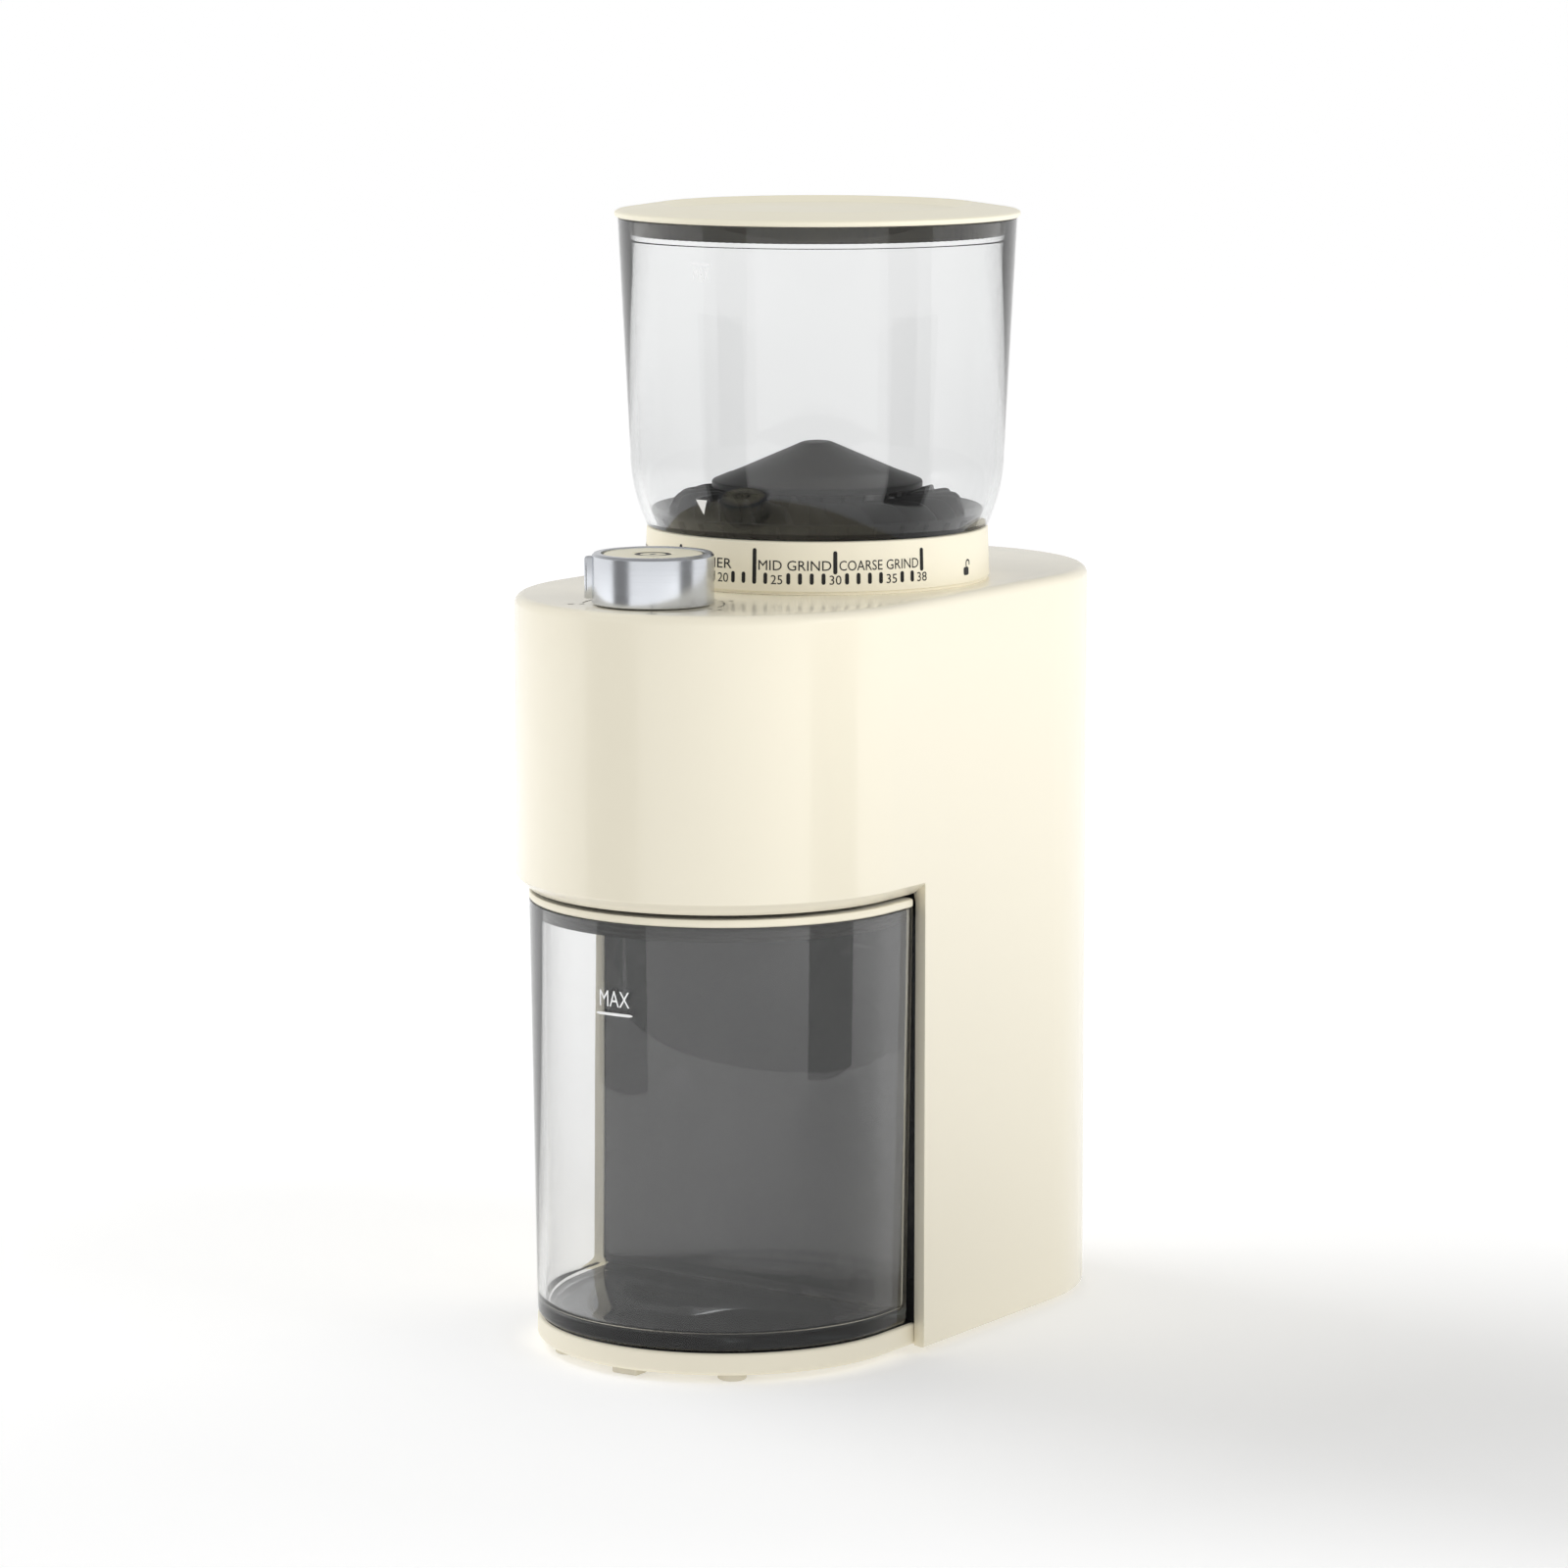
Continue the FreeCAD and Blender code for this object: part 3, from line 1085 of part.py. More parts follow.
def gears():
    """Motor pinion, two-step intermediate gear and output gear, in mesh along the centre line."""
    one, two = number("gear_one_module"), number("gear_two_module")
    small, large = number("pinion_teeth"), number("wheel_teeth")
    face = number("gear_face")
    low, high = number(STAGE_ONE_Z), number(STAGE_TWO_Z)
    front, back = -math.pi / 2, math.pi / 2
    at = FreeCAD.Vector
    shaft = number("motor_shaft_radius")
    pinion = gear_solid(one, small, front, low, face).cut(Part.makeCylinder(shaft, face, at(0, 0, low)))
    gear_feature("motor_pinion", pinion, MOTOR_Y)
    wheel = gear_solid(one, large, back + math.pi / large, low, face)
    step = gear_solid(two, small, front, low + face - 1, 2 * face + 3)
    hub = wheel.fuse(step)
    bore = Part.makeCylinder(2 + number("run_gap"), 100, at(0, 0, low - 10))
    gear_feature("intermediate_gear", hub.cut(bore).removeSplitter(), IDLER_Y)
    output = gear_solid(two, large, back + math.pi / large, high, face + 3)
    boss = Part.makeCylinder(9, 4, at(0, 0, high + face + 2.5))
    bore = Part.makeCylinder(number(BORE_GAP), 100, at(0, 0, high - 20))
    gear_feature("output_gear", output.fuse(boss).cut(bore).removeSplitter(), "axis_y")


def intermediate_axle():
    """The fixed pin that the intermediate gear turns on."""
    piece = body("intermediate_axle", y=IDLER_Y)
    ring(piece, "0", "2", f"{GEARBOX_BOTTOM} + 0.5", f"{CHAMBER_BOTTOM} - 0.2")
    node(piece)


def motor():
    """The direct-current motor: can, end cap, magnets, armature and shaft."""
    top = f"({GEARBOX_BOTTOM} - 0.05)"
    inner = "(motor_radius - motor_wall)"
    can = body("motor_can", y=MOTOR_Y)
    turn(can, [("6.9", top), ("6.9", f"{top} - motor_wall"), (inner, f"{top} - motor_wall"),
               (inner, MOTOR_BOTTOM), ("motor_radius", MOTOR_BOTTOM), ("motor_radius", top)])
    pocket(can, [("10", "0", "1.7"), ("-10", "0", "1.7")], f"{top} - 5", "8", circles)
    node(can)
    cap = body("motor_end_cap", y=MOTOR_Y)
    turn(cap, [("motor_shaft_radius + 0.05", f"{MOTOR_BOTTOM} - 5"), ("8", f"{MOTOR_BOTTOM} - 5"),
               ("9", f"{MOTOR_BOTTOM} - 2.5"), ("motor_radius", f"{MOTOR_BOTTOM} - 2.5"),
               ("motor_radius", MOTOR_BOTTOM), (f"{inner} - 0.1", MOTOR_BOTTOM),
               (f"{inner} - 0.1", f"{MOTOR_BOTTOM} + 4"), (f"{inner} - 2", f"{MOTOR_BOTTOM} + 4"),
               (f"{inner} - 2", MOTOR_BOTTOM), ("motor_shaft_radius + 0.05", MOTOR_BOTTOM)])
    node(cap)
    magnets = body("motor_magnets", y=MOTOR_Y)
    ring(magnets, f"{inner} - 4.6", inner, f"{MOTOR_BOTTOM} + 14", f"{top} - 12")
    node(magnets)
    rotor = body("motor_armature", y=MOTOR_Y)
    turn(rotor, [("motor_shaft_radius", f"{MOTOR_BOTTOM} + 6"), ("7", f"{MOTOR_BOTTOM} + 6"),
                 ("7", f"{MOTOR_BOTTOM} + 12"), ("12", f"{MOTOR_BOTTOM} + 13"), (f"{inner} - 5.2", f"{MOTOR_BOTTOM} + 17"),
                 (f"{inner} - 5.2", f"{top} - 15"), ("10", f"{top} - 9"), ("motor_shaft_radius", f"{top} - 9")])
    node(rotor)
    shaft = body("motor_shaft", y=MOTOR_Y)
    ring(shaft, "0", "motor_shaft_radius", f"{MOTOR_BOTTOM} - 6.5", f"{STAGE_ONE_Z} + gear_face")
    node(shaft)


# ---------------------------------------------------------------------------------------------
# Power board, switches and screws
# ---------------------------------------------------------------------------------------------
def power_board():
    """The power board over the base, with its tall parts."""
    piece = body("power_board")
    pad(piece, box_corners("-36", "36", "2", "62"), BOARD_Z, "board_wall")
    pocket(piece, [(x, y, "screw_radius + fit_gap") for x, y in BOARD_POSTS], f"{BOARD_Z} - 1", "4",
           circles)
    node(piece)
    standing = f"{BOARD_Z} + board_wall"
    piece = body("board_capacitor", y="20", x="-18")
    ring(piece, "0", "9", standing, f"{standing} + 26")
    node(piece)
    piece = body("board_transformer")
    pad(piece, box_corners("2", "26", "14", "36"), standing, "20")
    node(piece)
    piece = body("board_relay")
    pad(piece, box_corners("-26", "-8", "38", "50"), standing, "15")
    node(piece)


def safety_switches():
    """The small switches that feel the container and the hopper."""
    piece = body("container_switch")
    pad(piece, box_corners("-6", "6", f"{LINER_FRONT} + liner_wall + 0.3", f"{LINER_FRONT} + liner_wall + 10"),
        "lip_height - 13", "12")
    node(piece)
    piece = body("hopper_switch")
    pad(piece, box_corners("46", "55", "axis_y - 9", "axis_y + 9"), f"{DECK_UNDER} - 8", "7.9")
    node(piece)


def fasteners():
    """Screw groups."""
    node(screws_up("drive_screws", [(x, y, f"{DECK_UNDER} - 12") for x, y in DECK_POSTS], "9"))
    power = screws("power_board_screws", [(x, y, f"{BOARD_Z} + board_wall") for x, y in BOARD_POSTS],
                   "board_wall + 6")
    panel = screws_up("panel_board_screws", [(x, y, PANEL_Z) for x, y in PANEL_POSTS], "7")
    node(compound("board_screws", [power, panel]))
    node(screws_up("base_screws", [(x, y, BASE_BOTTOM + " + 2.6") for x, y in BASE_POSTS], "9"))
    node(screws_up("gearbox_screws", [(x, y, GEARBOX_BOTTOM) for x, y in GEARBOX_BOSSES],
                   "gearbox_depth + chamber_floor - 1"))
    spots = [(x, MOTOR_Y, f"{GEARBOX_BOTTOM} + gearbox_wall") for x in ("10", "-10")]
    node(screws("motor_screws", spots, "5"))


def build():
    """Make every piece."""
    for make in (main_housing, base_plate, feet, bay_liner, cord_gland, grounds_container, container_lid,
                 container_gasket, dial_collar, hopper, hopper_base, bean_guard, hopper_seal, lid,
                 lid_gasket, selector_knob, start_button, button_spring, selector_shaft,
                 rotary_selector, panel_board, start_switch, switch_plunger, adjusting_ring,
                 burr_carrier, ring_burr, cone_burr, burr_nut, sweeper, burr_shaft, burr_chamber,
                 shaft_bearings, grounds_chute, gearbox_tray, gearbox_cover, gears,
                 intermediate_axle, motor, power_board, safety_switches, fasteners):
        make()


def check():
    """Refuse to write a failed or empty piece."""
    for thing in doc.Objects:
        if "Invalid" in thing.State or "Error" in thing.State:
            raise RuntimeError(f"{thing.Label} failed: {thing.State}")
    for piece in NODES:
        if piece.Shape.isNull() or not piece.Shape.isValid() or not piece.Shape.Solids:
            raise RuntimeError(f"{piece.Label} has no valid solid")


def write():
    """Write each piece to its own file."""
    os.makedirs("parts", exist_ok=True)
    for piece in NODES:
        piece.Shape.exportStep(f"parts/{piece.Label}.step")
    print(len(NODES), "pieces written")


build()
doc.recompute()
check()
write()
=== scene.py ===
"""Burr coffee grinder: the finish and fine shape of every visible piece.

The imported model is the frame: every position and size below starts from the box of a piece in it.
Lengths inside the classes are millimetres, and a mesh is scaled to metres when it is made.
"""
import json
import logging
import math
from dataclasses import dataclass, field
from enum import Enum

import bmesh
import bpy
import numpy as np
from mathutils import Matrix, Vector

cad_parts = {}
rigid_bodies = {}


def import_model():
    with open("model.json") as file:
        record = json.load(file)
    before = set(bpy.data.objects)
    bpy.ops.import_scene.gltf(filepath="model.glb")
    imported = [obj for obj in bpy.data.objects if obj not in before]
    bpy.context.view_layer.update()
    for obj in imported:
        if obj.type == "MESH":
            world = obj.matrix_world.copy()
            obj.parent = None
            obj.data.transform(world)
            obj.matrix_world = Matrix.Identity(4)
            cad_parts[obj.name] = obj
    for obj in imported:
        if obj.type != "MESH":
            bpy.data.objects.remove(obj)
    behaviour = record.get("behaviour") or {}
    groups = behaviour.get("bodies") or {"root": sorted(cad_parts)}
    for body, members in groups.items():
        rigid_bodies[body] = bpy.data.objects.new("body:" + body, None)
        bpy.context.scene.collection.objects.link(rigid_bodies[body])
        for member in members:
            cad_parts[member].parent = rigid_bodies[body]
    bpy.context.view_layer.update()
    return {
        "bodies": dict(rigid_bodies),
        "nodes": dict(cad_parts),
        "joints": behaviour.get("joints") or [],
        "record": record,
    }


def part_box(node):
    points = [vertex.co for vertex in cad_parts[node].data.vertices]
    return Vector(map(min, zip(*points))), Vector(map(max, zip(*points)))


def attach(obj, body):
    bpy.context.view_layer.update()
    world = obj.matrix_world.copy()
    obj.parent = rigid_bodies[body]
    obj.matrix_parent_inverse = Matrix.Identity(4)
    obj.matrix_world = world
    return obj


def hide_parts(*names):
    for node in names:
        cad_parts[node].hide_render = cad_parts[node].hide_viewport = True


MM = 0.001
CAPITAL = 0.69
PROUD = 0.06
KNOB_AXIS = (0.0, -83.7)
GRIND_AXIS = (0.0, 5.9)
START_TURN = 213.5
LOG = logging.getLogger("grinder")


class Body(Enum):
    """The moving bodies that new pieces ride on."""

    HOUSING = "housing"
    CONTAINER = "container"
    HOPPER = "bean_hopper"
    LID = "hopper_lid"
    KNOB = "knob"
    BUTTON = "button"
    BURR = "burr_drive"


# ---------------------------------------------------------------------------------------------
# Shapes as arrays
# ---------------------------------------------------------------------------------------------
def unit(vectors: np.ndarray) -> np.ndarray:
    """Each row divided by its own length."""
    return vectors / np.maximum(np.linalg.norm(vectors, axis=-1, keepdims=True), 1e-12)


def rounded(corners: list[tuple[float, float, float]], closed: bool = True, steps: int = 6) -> np.ndarray:
    """A polygon with every corner turned into an arc.

    At a corner P with unit directions u and v to its neighbours and half angle h between them, an arc of
    radius r touches the sides r / tan(h) from P and has its centre r / sin(h) along u + v.

    Args:
        corners: (a, b, radius) for each corner, in order.
        closed: whether the last corner joins the first.
        steps: points on each arc.

    Returns:
        Points in order, one row each.
    """
    table = np.asarray(corners, dtype=float)
    spots, radius = table[:, :2], table[:, 2].copy()
    before, after = np.roll(spots, 1, axis=0), np.roll(spots, -1, axis=0)
    if not closed:
        radius[[0, -1]] = 0.0
    u, v = unit(before - spots), unit(after - spots)
    half = np.arccos(np.clip((u * v).sum(axis=1), -0.999999, 0.999999)) / 2
    reach = radius / np.tan(half)
    room = 0.49 * np.minimum(np.linalg.norm(before - spots, axis=1), np.linalg.norm(after - spots, axis=1))
    reach = np.minimum(reach, room)
    centre = spots + unit(u + v) * (reach / np.cos(half))[:, None]
    first, last = spots + u * reach[:, None] - centre, spots + v * reach[:, None] - centre
    sweep = np.maximum(math.pi - 2 * half, 1e-9)[:, None]
    share = np.linspace(0.0, 1.0, steps)[None, :]
    near = np.sin((1 - share) * sweep) / np.sin(sweep)
    far = np.sin(share * sweep) / np.sin(sweep)
    arc = centre[:, None, :] + near[..., None] * first[:, None, :] + far[..., None] * last[:, None, :]
    return arc.reshape(-1, 2)


def around(centre: tuple[float, float], radius: np.ndarray | float, turn: np.ndarray | float,
           height: np.ndarray | float) -> np.ndarray:
    """Points (cx + r cos a, cy + r sin a, z), with radius, turn and height broadcast together."""
    radius, turn, height = np.broadcast_arrays(radius, turn, height)
    return np.stack([centre[0] + radius * np.cos(turn), centre[1] + radius * np.sin(turn), height], axis=-1)


def spun(profile: np.ndarray, centre: tuple[float, float], columns: int = 192) -> np.ndarray:
    """A half profile of (radius, height) carried round an upright axis.

    Point (i, j) is (cx + r_j cos a_i, cy + r_j sin a_i, z_j) with a_i evenly spaced round the circle.

    Args:
        profile: (radius, height) rows.
        centre: the axis in plan.
        columns: steps round the circle.

    Returns:
        Points of shape (columns, profile rows, 3).
    """
    angle = np.linspace(0.0, 2 * math.pi, columns, endpoint=False)[:, None]
    return around(centre, profile[None, :, 0], angle, profile[None, :, 1])


def resampled(path: np.ndarray, count: int) -> np.ndarray:
    """A closed path as evenly spaced points, by interpolation along its length.

    Args:
        path: its corners, one row each.
        count: how many points it becomes.

    Returns:
        The points, one row each.
    """
    closed = np.vstack([path, path[:1]])
    travel = np.concatenate([[0.0], np.cumsum(np.linalg.norm(np.diff(closed, axis=0), axis=1))])
    at = np.linspace(0.0, travel[-1], count, endpoint=False)
    return np.stack([np.interp(at, travel, closed[:, 0]), np.interp(at, travel, closed[:, 1])], axis=1)


class Sheets:
    """Grids of points gathered into one mesh."""

    def __init__(self, name: str) -> None:
        """An empty set of sheets for the piece of that name."""
        self.name = name
        self.points: list[np.ndarray] = []
        self.faces: list[np.ndarray] = []
        self.count = 0

    def grid(self, points: np.ndarray, wrap_rows: bool = False, wrap_columns: bool = False) -> "Sheets":
        """Adds a grid as quadrilaterals between neighbouring rows and columns.

        Args:
            points: shape (rows, columns, 3), millimetres.
            wrap_rows: whether the last row joins the first.
            wrap_columns: whether the last column joins the first.

        Returns:
            The sheets themselves, so that calls can be chained.
        """
        rows, columns = points.shape[:2]
        i = np.arange(rows if wrap_rows else rows - 1)[:, None]
        j = np.arange(columns if wrap_columns else columns - 1)[None, :]
        nexti, nextj = (i + 1) % rows, (j + 1) % columns
        quads = np.stack([i * columns + j, nexti * columns + j, nexti * columns + nextj, i * columns + nextj], axis=-1)
        self.points.append(points.reshape(-1, 3))
        self.faces.append(quads.reshape(-1, 4) + self.count)
        self.count += rows * columns
        return self

    def boxes(self, spots: np.ndarray, size: tuple[float, float, float]) -> "Sheets":
        """Adds upright boxes of one size.

        Args:
            spots: the centre of each box, one row each.
            size: width, depth and height.

        Returns:
            The sheets themselves.
        """
        corner = np.array([[-1, -1, -1], [1, -1, -1], [1, 1, -1], [-1, 1, -1],
                           [-1, -1, 1], [1, -1, 1], [1, 1, 1], [-1, 1, 1]]) * np.array(size) / 2
        sides = np.array([[0, 3, 2, 1], [4, 5, 6, 7], [0, 1, 5, 4], [1, 2, 6, 5], [2, 3, 7, 6], [3, 0, 4, 7]])
        points = spots[:, None, :] + corner[None]
        faces = sides[None] + 8 * np.arange(len(spots))[:, None, None]
        self.points.append(points.reshape(-1, 3))
        self.faces.append(faces.reshape(-1, 4) + self.count)
        self.count += points.shape[0] * 8
        return self

    def made(self, sharp: float = 32.0, weld: float = 0.004) -> bpy.types.Object:
        """Makes the object: points in metres, doubles merged, faces turned outwards, smooth but for sharp edges.

        Args:
            sharp: the angle in degrees past which an edge stays crisp.
            weld: points nearer than this, in millimetres, become one.

        Returns:
            The new object, at the origin.
        """
        points = np.concatenate(self.points) * MM
        faces = np.concatenate(self.faces)
        mesh = bpy.data.meshes.new(self.name)
        mesh.vertices.add(len(points))
        mesh.vertices.foreach_set("co", points.astype(np.float32).ravel())
        mesh.loops.add(faces.size)
        mesh.loops.foreach_set("vertex_index", faces.astype(np.int32).ravel())
        mesh.polygons.add(len(faces))
        mesh.polygons.foreach_set("loop_start", np.arange(0, faces.size, 4, dtype=np.int32))
        mesh.update(calc_edges=True)
        work = bmesh.new()
        work.from_mesh(mesh)
        bmesh.ops.remove_doubles(work, verts=work.verts, dist=weld * MM)
        bmesh.ops.dissolve_degenerate(work, edges=work.edges, dist=weld * MM * 0.5)
        bmesh.ops.recalc_face_normals(work, faces=work.faces)
        work.to_mesh(mesh)
        work.free()
        return placed(self.name, mesh, sharp)


def placed(name: str, mesh: bpy.types.Mesh, sharp: float = 32.0) -> bpy.types.Object:
    """An object at the origin for a mesh, shaded smooth but for its sharp edges.

    Args:
        name: the piece's name.
        mesh: its mesh, in metres.
        sharp: the angle in degrees past which an edge stays crisp.

    Returns:
        The object, linked to the scene.
    """
    mesh.name = name
    mesh.polygons.foreach_set("use_smooth", np.ones(len(mesh.polygons), dtype=bool))
    mesh.set_sharp_from_angle(angle=math.radians(sharp))
    made = bpy.data.objects.new(name, mesh)
    bpy.context.scene.collection.objects.link(made)
    return made


def thickened(piece: bpy.types.Object, wall: float) -> None:
    """Gives a sheet a wall inwards, in millimetres."""
    solid = piece.modifiers.new("wall", "SOLIDIFY")
    solid.thickness, solid.offset, solid.use_even_offset = wall * MM, -1.0, True


def softened(piece: bpy.types.Object, width: float, angle: float = 40.0, segments: int = 2) -> None:
    """Rounds a piece's sharp edges.

    Args:
        piece: the object.
        width: the rounding in millimetres.
        angle: edges sharper than this, in degrees, are rounded.
        segments: steps across each rounding.
    """
    bevel = piece.modifiers.new("soft edges", "BEVEL")
    bevel.width, bevel.segments, bevel.limit_method = width * MM, segments, "ANGLE"
    bevel.angle_limit = math.radians(angle)
    bevel.harden_normals = False


def lettering(words: str, height: float, width: float | None = None) -> bpy.types.Mesh:
    """Words as a flat mesh in the XY plane, in millimetres, with capitals of the given height.

    Args:
        words: the text, generic words or numbers only.
        height: height of a capital.
        width: the length to draw the words out to, if any.

    Returns:
        A new mesh.
    """
    curve = bpy.data.curves.new("words", "FONT")
    curve.body, curve.align_x, curve.size = words, "CENTER", 1.0
    curve.resolution_u = 3
    holder = bpy.data.objects.new("words", curve)
    bpy.context.scene.collection.objects.link(holder)
    bpy.context.view_layer.update()
    mesh = bpy.data.meshes.new_from_object(holder.evaluated_get(bpy.context.evaluated_depsgraph_get()))
    bpy.data.objects.remove(holder)
    spots = vertices_of(mesh)
    spots[:, :2] *= height / CAPITAL
    if width is not None:
        long = float(np.ptp(spots[:, 0]))
        spots[:, 0] *= width / max(long, 1e-6)
    mesh.vertices.foreach_set("co", spots.astype(np.float32).ravel())
    return mesh


def vertices_of(mesh: bpy.types.Mesh) -> np.ndarray:
    """A mesh's vertices, one row each."""
    spots = np.empty(len(mesh.vertices) * 3, dtype=np.float32)
    mesh.vertices.foreach_get("co", spots)
    return spots.reshape(-1, 3).astype(float)


def slab(width: float, height: float, radius: float = 0.0, columns: int = 6) -> bpy.types.Mesh:
    """A flat mark in the XY plane about its centre, divided across so that it can follow a curve.

    Args:
        width: size along X in millimetres.
        height: size along Y.
        radius: how far its ends are rounded.
        columns: divisions along X.

    Returns:
        A new mesh.
    """
    x = np.linspace(-width / 2, width / 2, columns + 1)
    inset = radius - np.sqrt(np.maximum(radius ** 2 - np.maximum(np.abs(x) - (width / 2 - radius), 0.0) ** 2, 0.0))
    top = height / 2 - inset
    points = np.stack([np.stack([x, -top, np.zeros_like(x)], axis=-1), np.stack([x, top, np.zeros_like(x)], axis=-1)])
    rows = np.arange(columns)
    faces = np.stack([rows, rows + 1, rows + columns + 2, rows + columns + 1], axis=-1)
    mesh = bpy.data.meshes.new("mark")
    mesh.from_pydata(points.reshape(-1, 3).tolist(), [], faces.tolist())
    return mesh


def arc_mark(radius: float, width: float, start: float, end: float, columns: int = 24) -> bpy.types.Mesh:
    """A flat curved stroke in the XY plane.

    Args:
        radius: the middle of the stroke, in millimetres.
        width: across the stroke.
        start: its first angle in degrees.
        end: its last angle.
        columns: divisions along it.

    Returns:
        A new mesh.
    """
    angle = np.radians(np.linspace(start, end, columns + 1))
    rows = [np.stack([r * np.cos(angle), r * np.sin(angle), np.zeros_like(angle)], axis=-1)
            for r in (radius + width / 2, radius - width / 2)]
    index = np.arange(columns)
    faces = np.stack([index, index + 1, index + columns + 2, index + columns + 1], axis=-1)
    mesh = bpy.data.meshes.new("stroke")
    mesh.from_pydata(np.concatenate(rows).tolist(), [], faces.tolist())
    return mesh


class Print:
    """Flat marks gathered onto one surface as a single thin piece."""

    def __init__(self, name: str) -> None:
        """An empty print for the piece of that name."""
        self.name = name
        self.work = bmesh.new()

    def lay(self, mark: bpy.types.Mesh, spots: np.ndarray) -> None:
        """Adds a mark with its vertices at the given places, in millimetres."""
        mark.vertices.foreach_set("co", spots.astype(np.float32).ravel())
        self.work.from_mesh(mark)
        bpy.data.meshes.remove(mark)

    def round(self, mark: bpy.types.Mesh, angle: float, height: float, radius: "Wall") -> None:
        """Wraps a mark on a round wall.

        A flat point (u, v) goes to the wall at angle + u / r(z), height z = height + v, with r the wall's radius.

        Args:
            mark: the flat mark.
            angle: its place round the wall, in degrees.
            height: its place up the wall.
            radius: the wall.
        """
        flat = vertices_of(mark)
        z = height + flat[:, 1]
        r = radius.at(z) + PROUD
        turn = math.radians(angle) + flat[:, 0] / r
        self.lay(mark, around((radius.x, radius.y), r, turn, z))

    def flat(self, mark: bpy.types.Mesh, x: float, y: float, z: float, turn: float = 0.0) -> None:
        """Lays a mark on a level surface.

        Args:
            mark: the flat mark.
            x: its place along X, in millimetres.
            y: its place along Y.
            z: the surface.
            turn: its turn in degrees.
        """
        spots = vertices_of(mark)
        c, s = math.cos(math.radians(turn)), math.sin(math.radians(turn))
        self.lay(mark, np.stack([x + c * spots[:, 0] - s * spots[:, 1], y + s * spots[:, 0] + c * spots[:, 1],
                                 np.full(len(spots), z + PROUD)], axis=-1))

    def made(self) -> bpy.types.Object:
        """The finished print, in metres."""
        mesh = bpy.data.meshes.new(self.name)
        self.work.to_mesh(mesh)
        self.work.free()
        spots = vertices_of(mesh) * MM
        mesh.vertices.foreach_set("co", spots.astype(np.float32).ravel())
        mesh.update()
        return placed(self.name, mesh)


@dataclass(frozen=True)
class Wall:
    """A round wall whose radius changes evenly with height."""

    x: float
    y: float
    low: float
    low_radius: float
    high: float
    high_radius: float

    def at(self, height: np.ndarray) -> np.ndarray:
        """The radius at each height."""
        share = (height - self.low) / (self.high - self.low)
        return self.low_radius + share * (self.high_radius - self.low_radius)


# ---------------------------------------------------------------------------------------------
# Shared effects
# ---------------------------------------------------------------------------------------------
class Tree:
    """A node tree that grows by one call for each node."""

    def __init__(self, tree: bpy.types.NodeTree) -> None:
        """Takes the tree that the nodes join."""
        self.tree = tree

    def add(self, kind: str, inputs: dict[str | int, object] | None = None, **settings: object) -> bpy.types.Node:
        """Adds a node.

        Args:
            kind: its type, without the leading ShaderNode.
            inputs: for each input, its value or the output that feeds it.
            settings: the node's other properties.

        Returns:
            The node.
        """
        node = self.tree.nodes.new("ShaderNode" + kind)
        for name, value in settings.items():
            setattr(node, name, value)
        return self.feed(node, inputs or {})

    def feed(self, node: bpy.types.Node, inputs: dict[str | int, object]) -> bpy.types.Node:
        """Sets or links a node's inputs.

        Args:
            node: the node.
            inputs: for each input, its value or the output that feeds it.

        Returns:
            The same node.
        """
        for name, value in inputs.items():
            if isinstance(value, bpy.types.NodeSocket):
                self.tree.links.new(value, node.inputs[name])
            else:
                node.inputs[name].default_value = value
        return node


def blank(name: str) -> tuple[bpy.types.Material, Tree, bpy.types.Node]:
    """A new material, its tree and its Principled shader."""
    material = bpy.data.materials.new(name)
    material.use_nodes = True
    return material, Tree(material.node_tree), material.node_tree.nodes["Principled BSDF"]


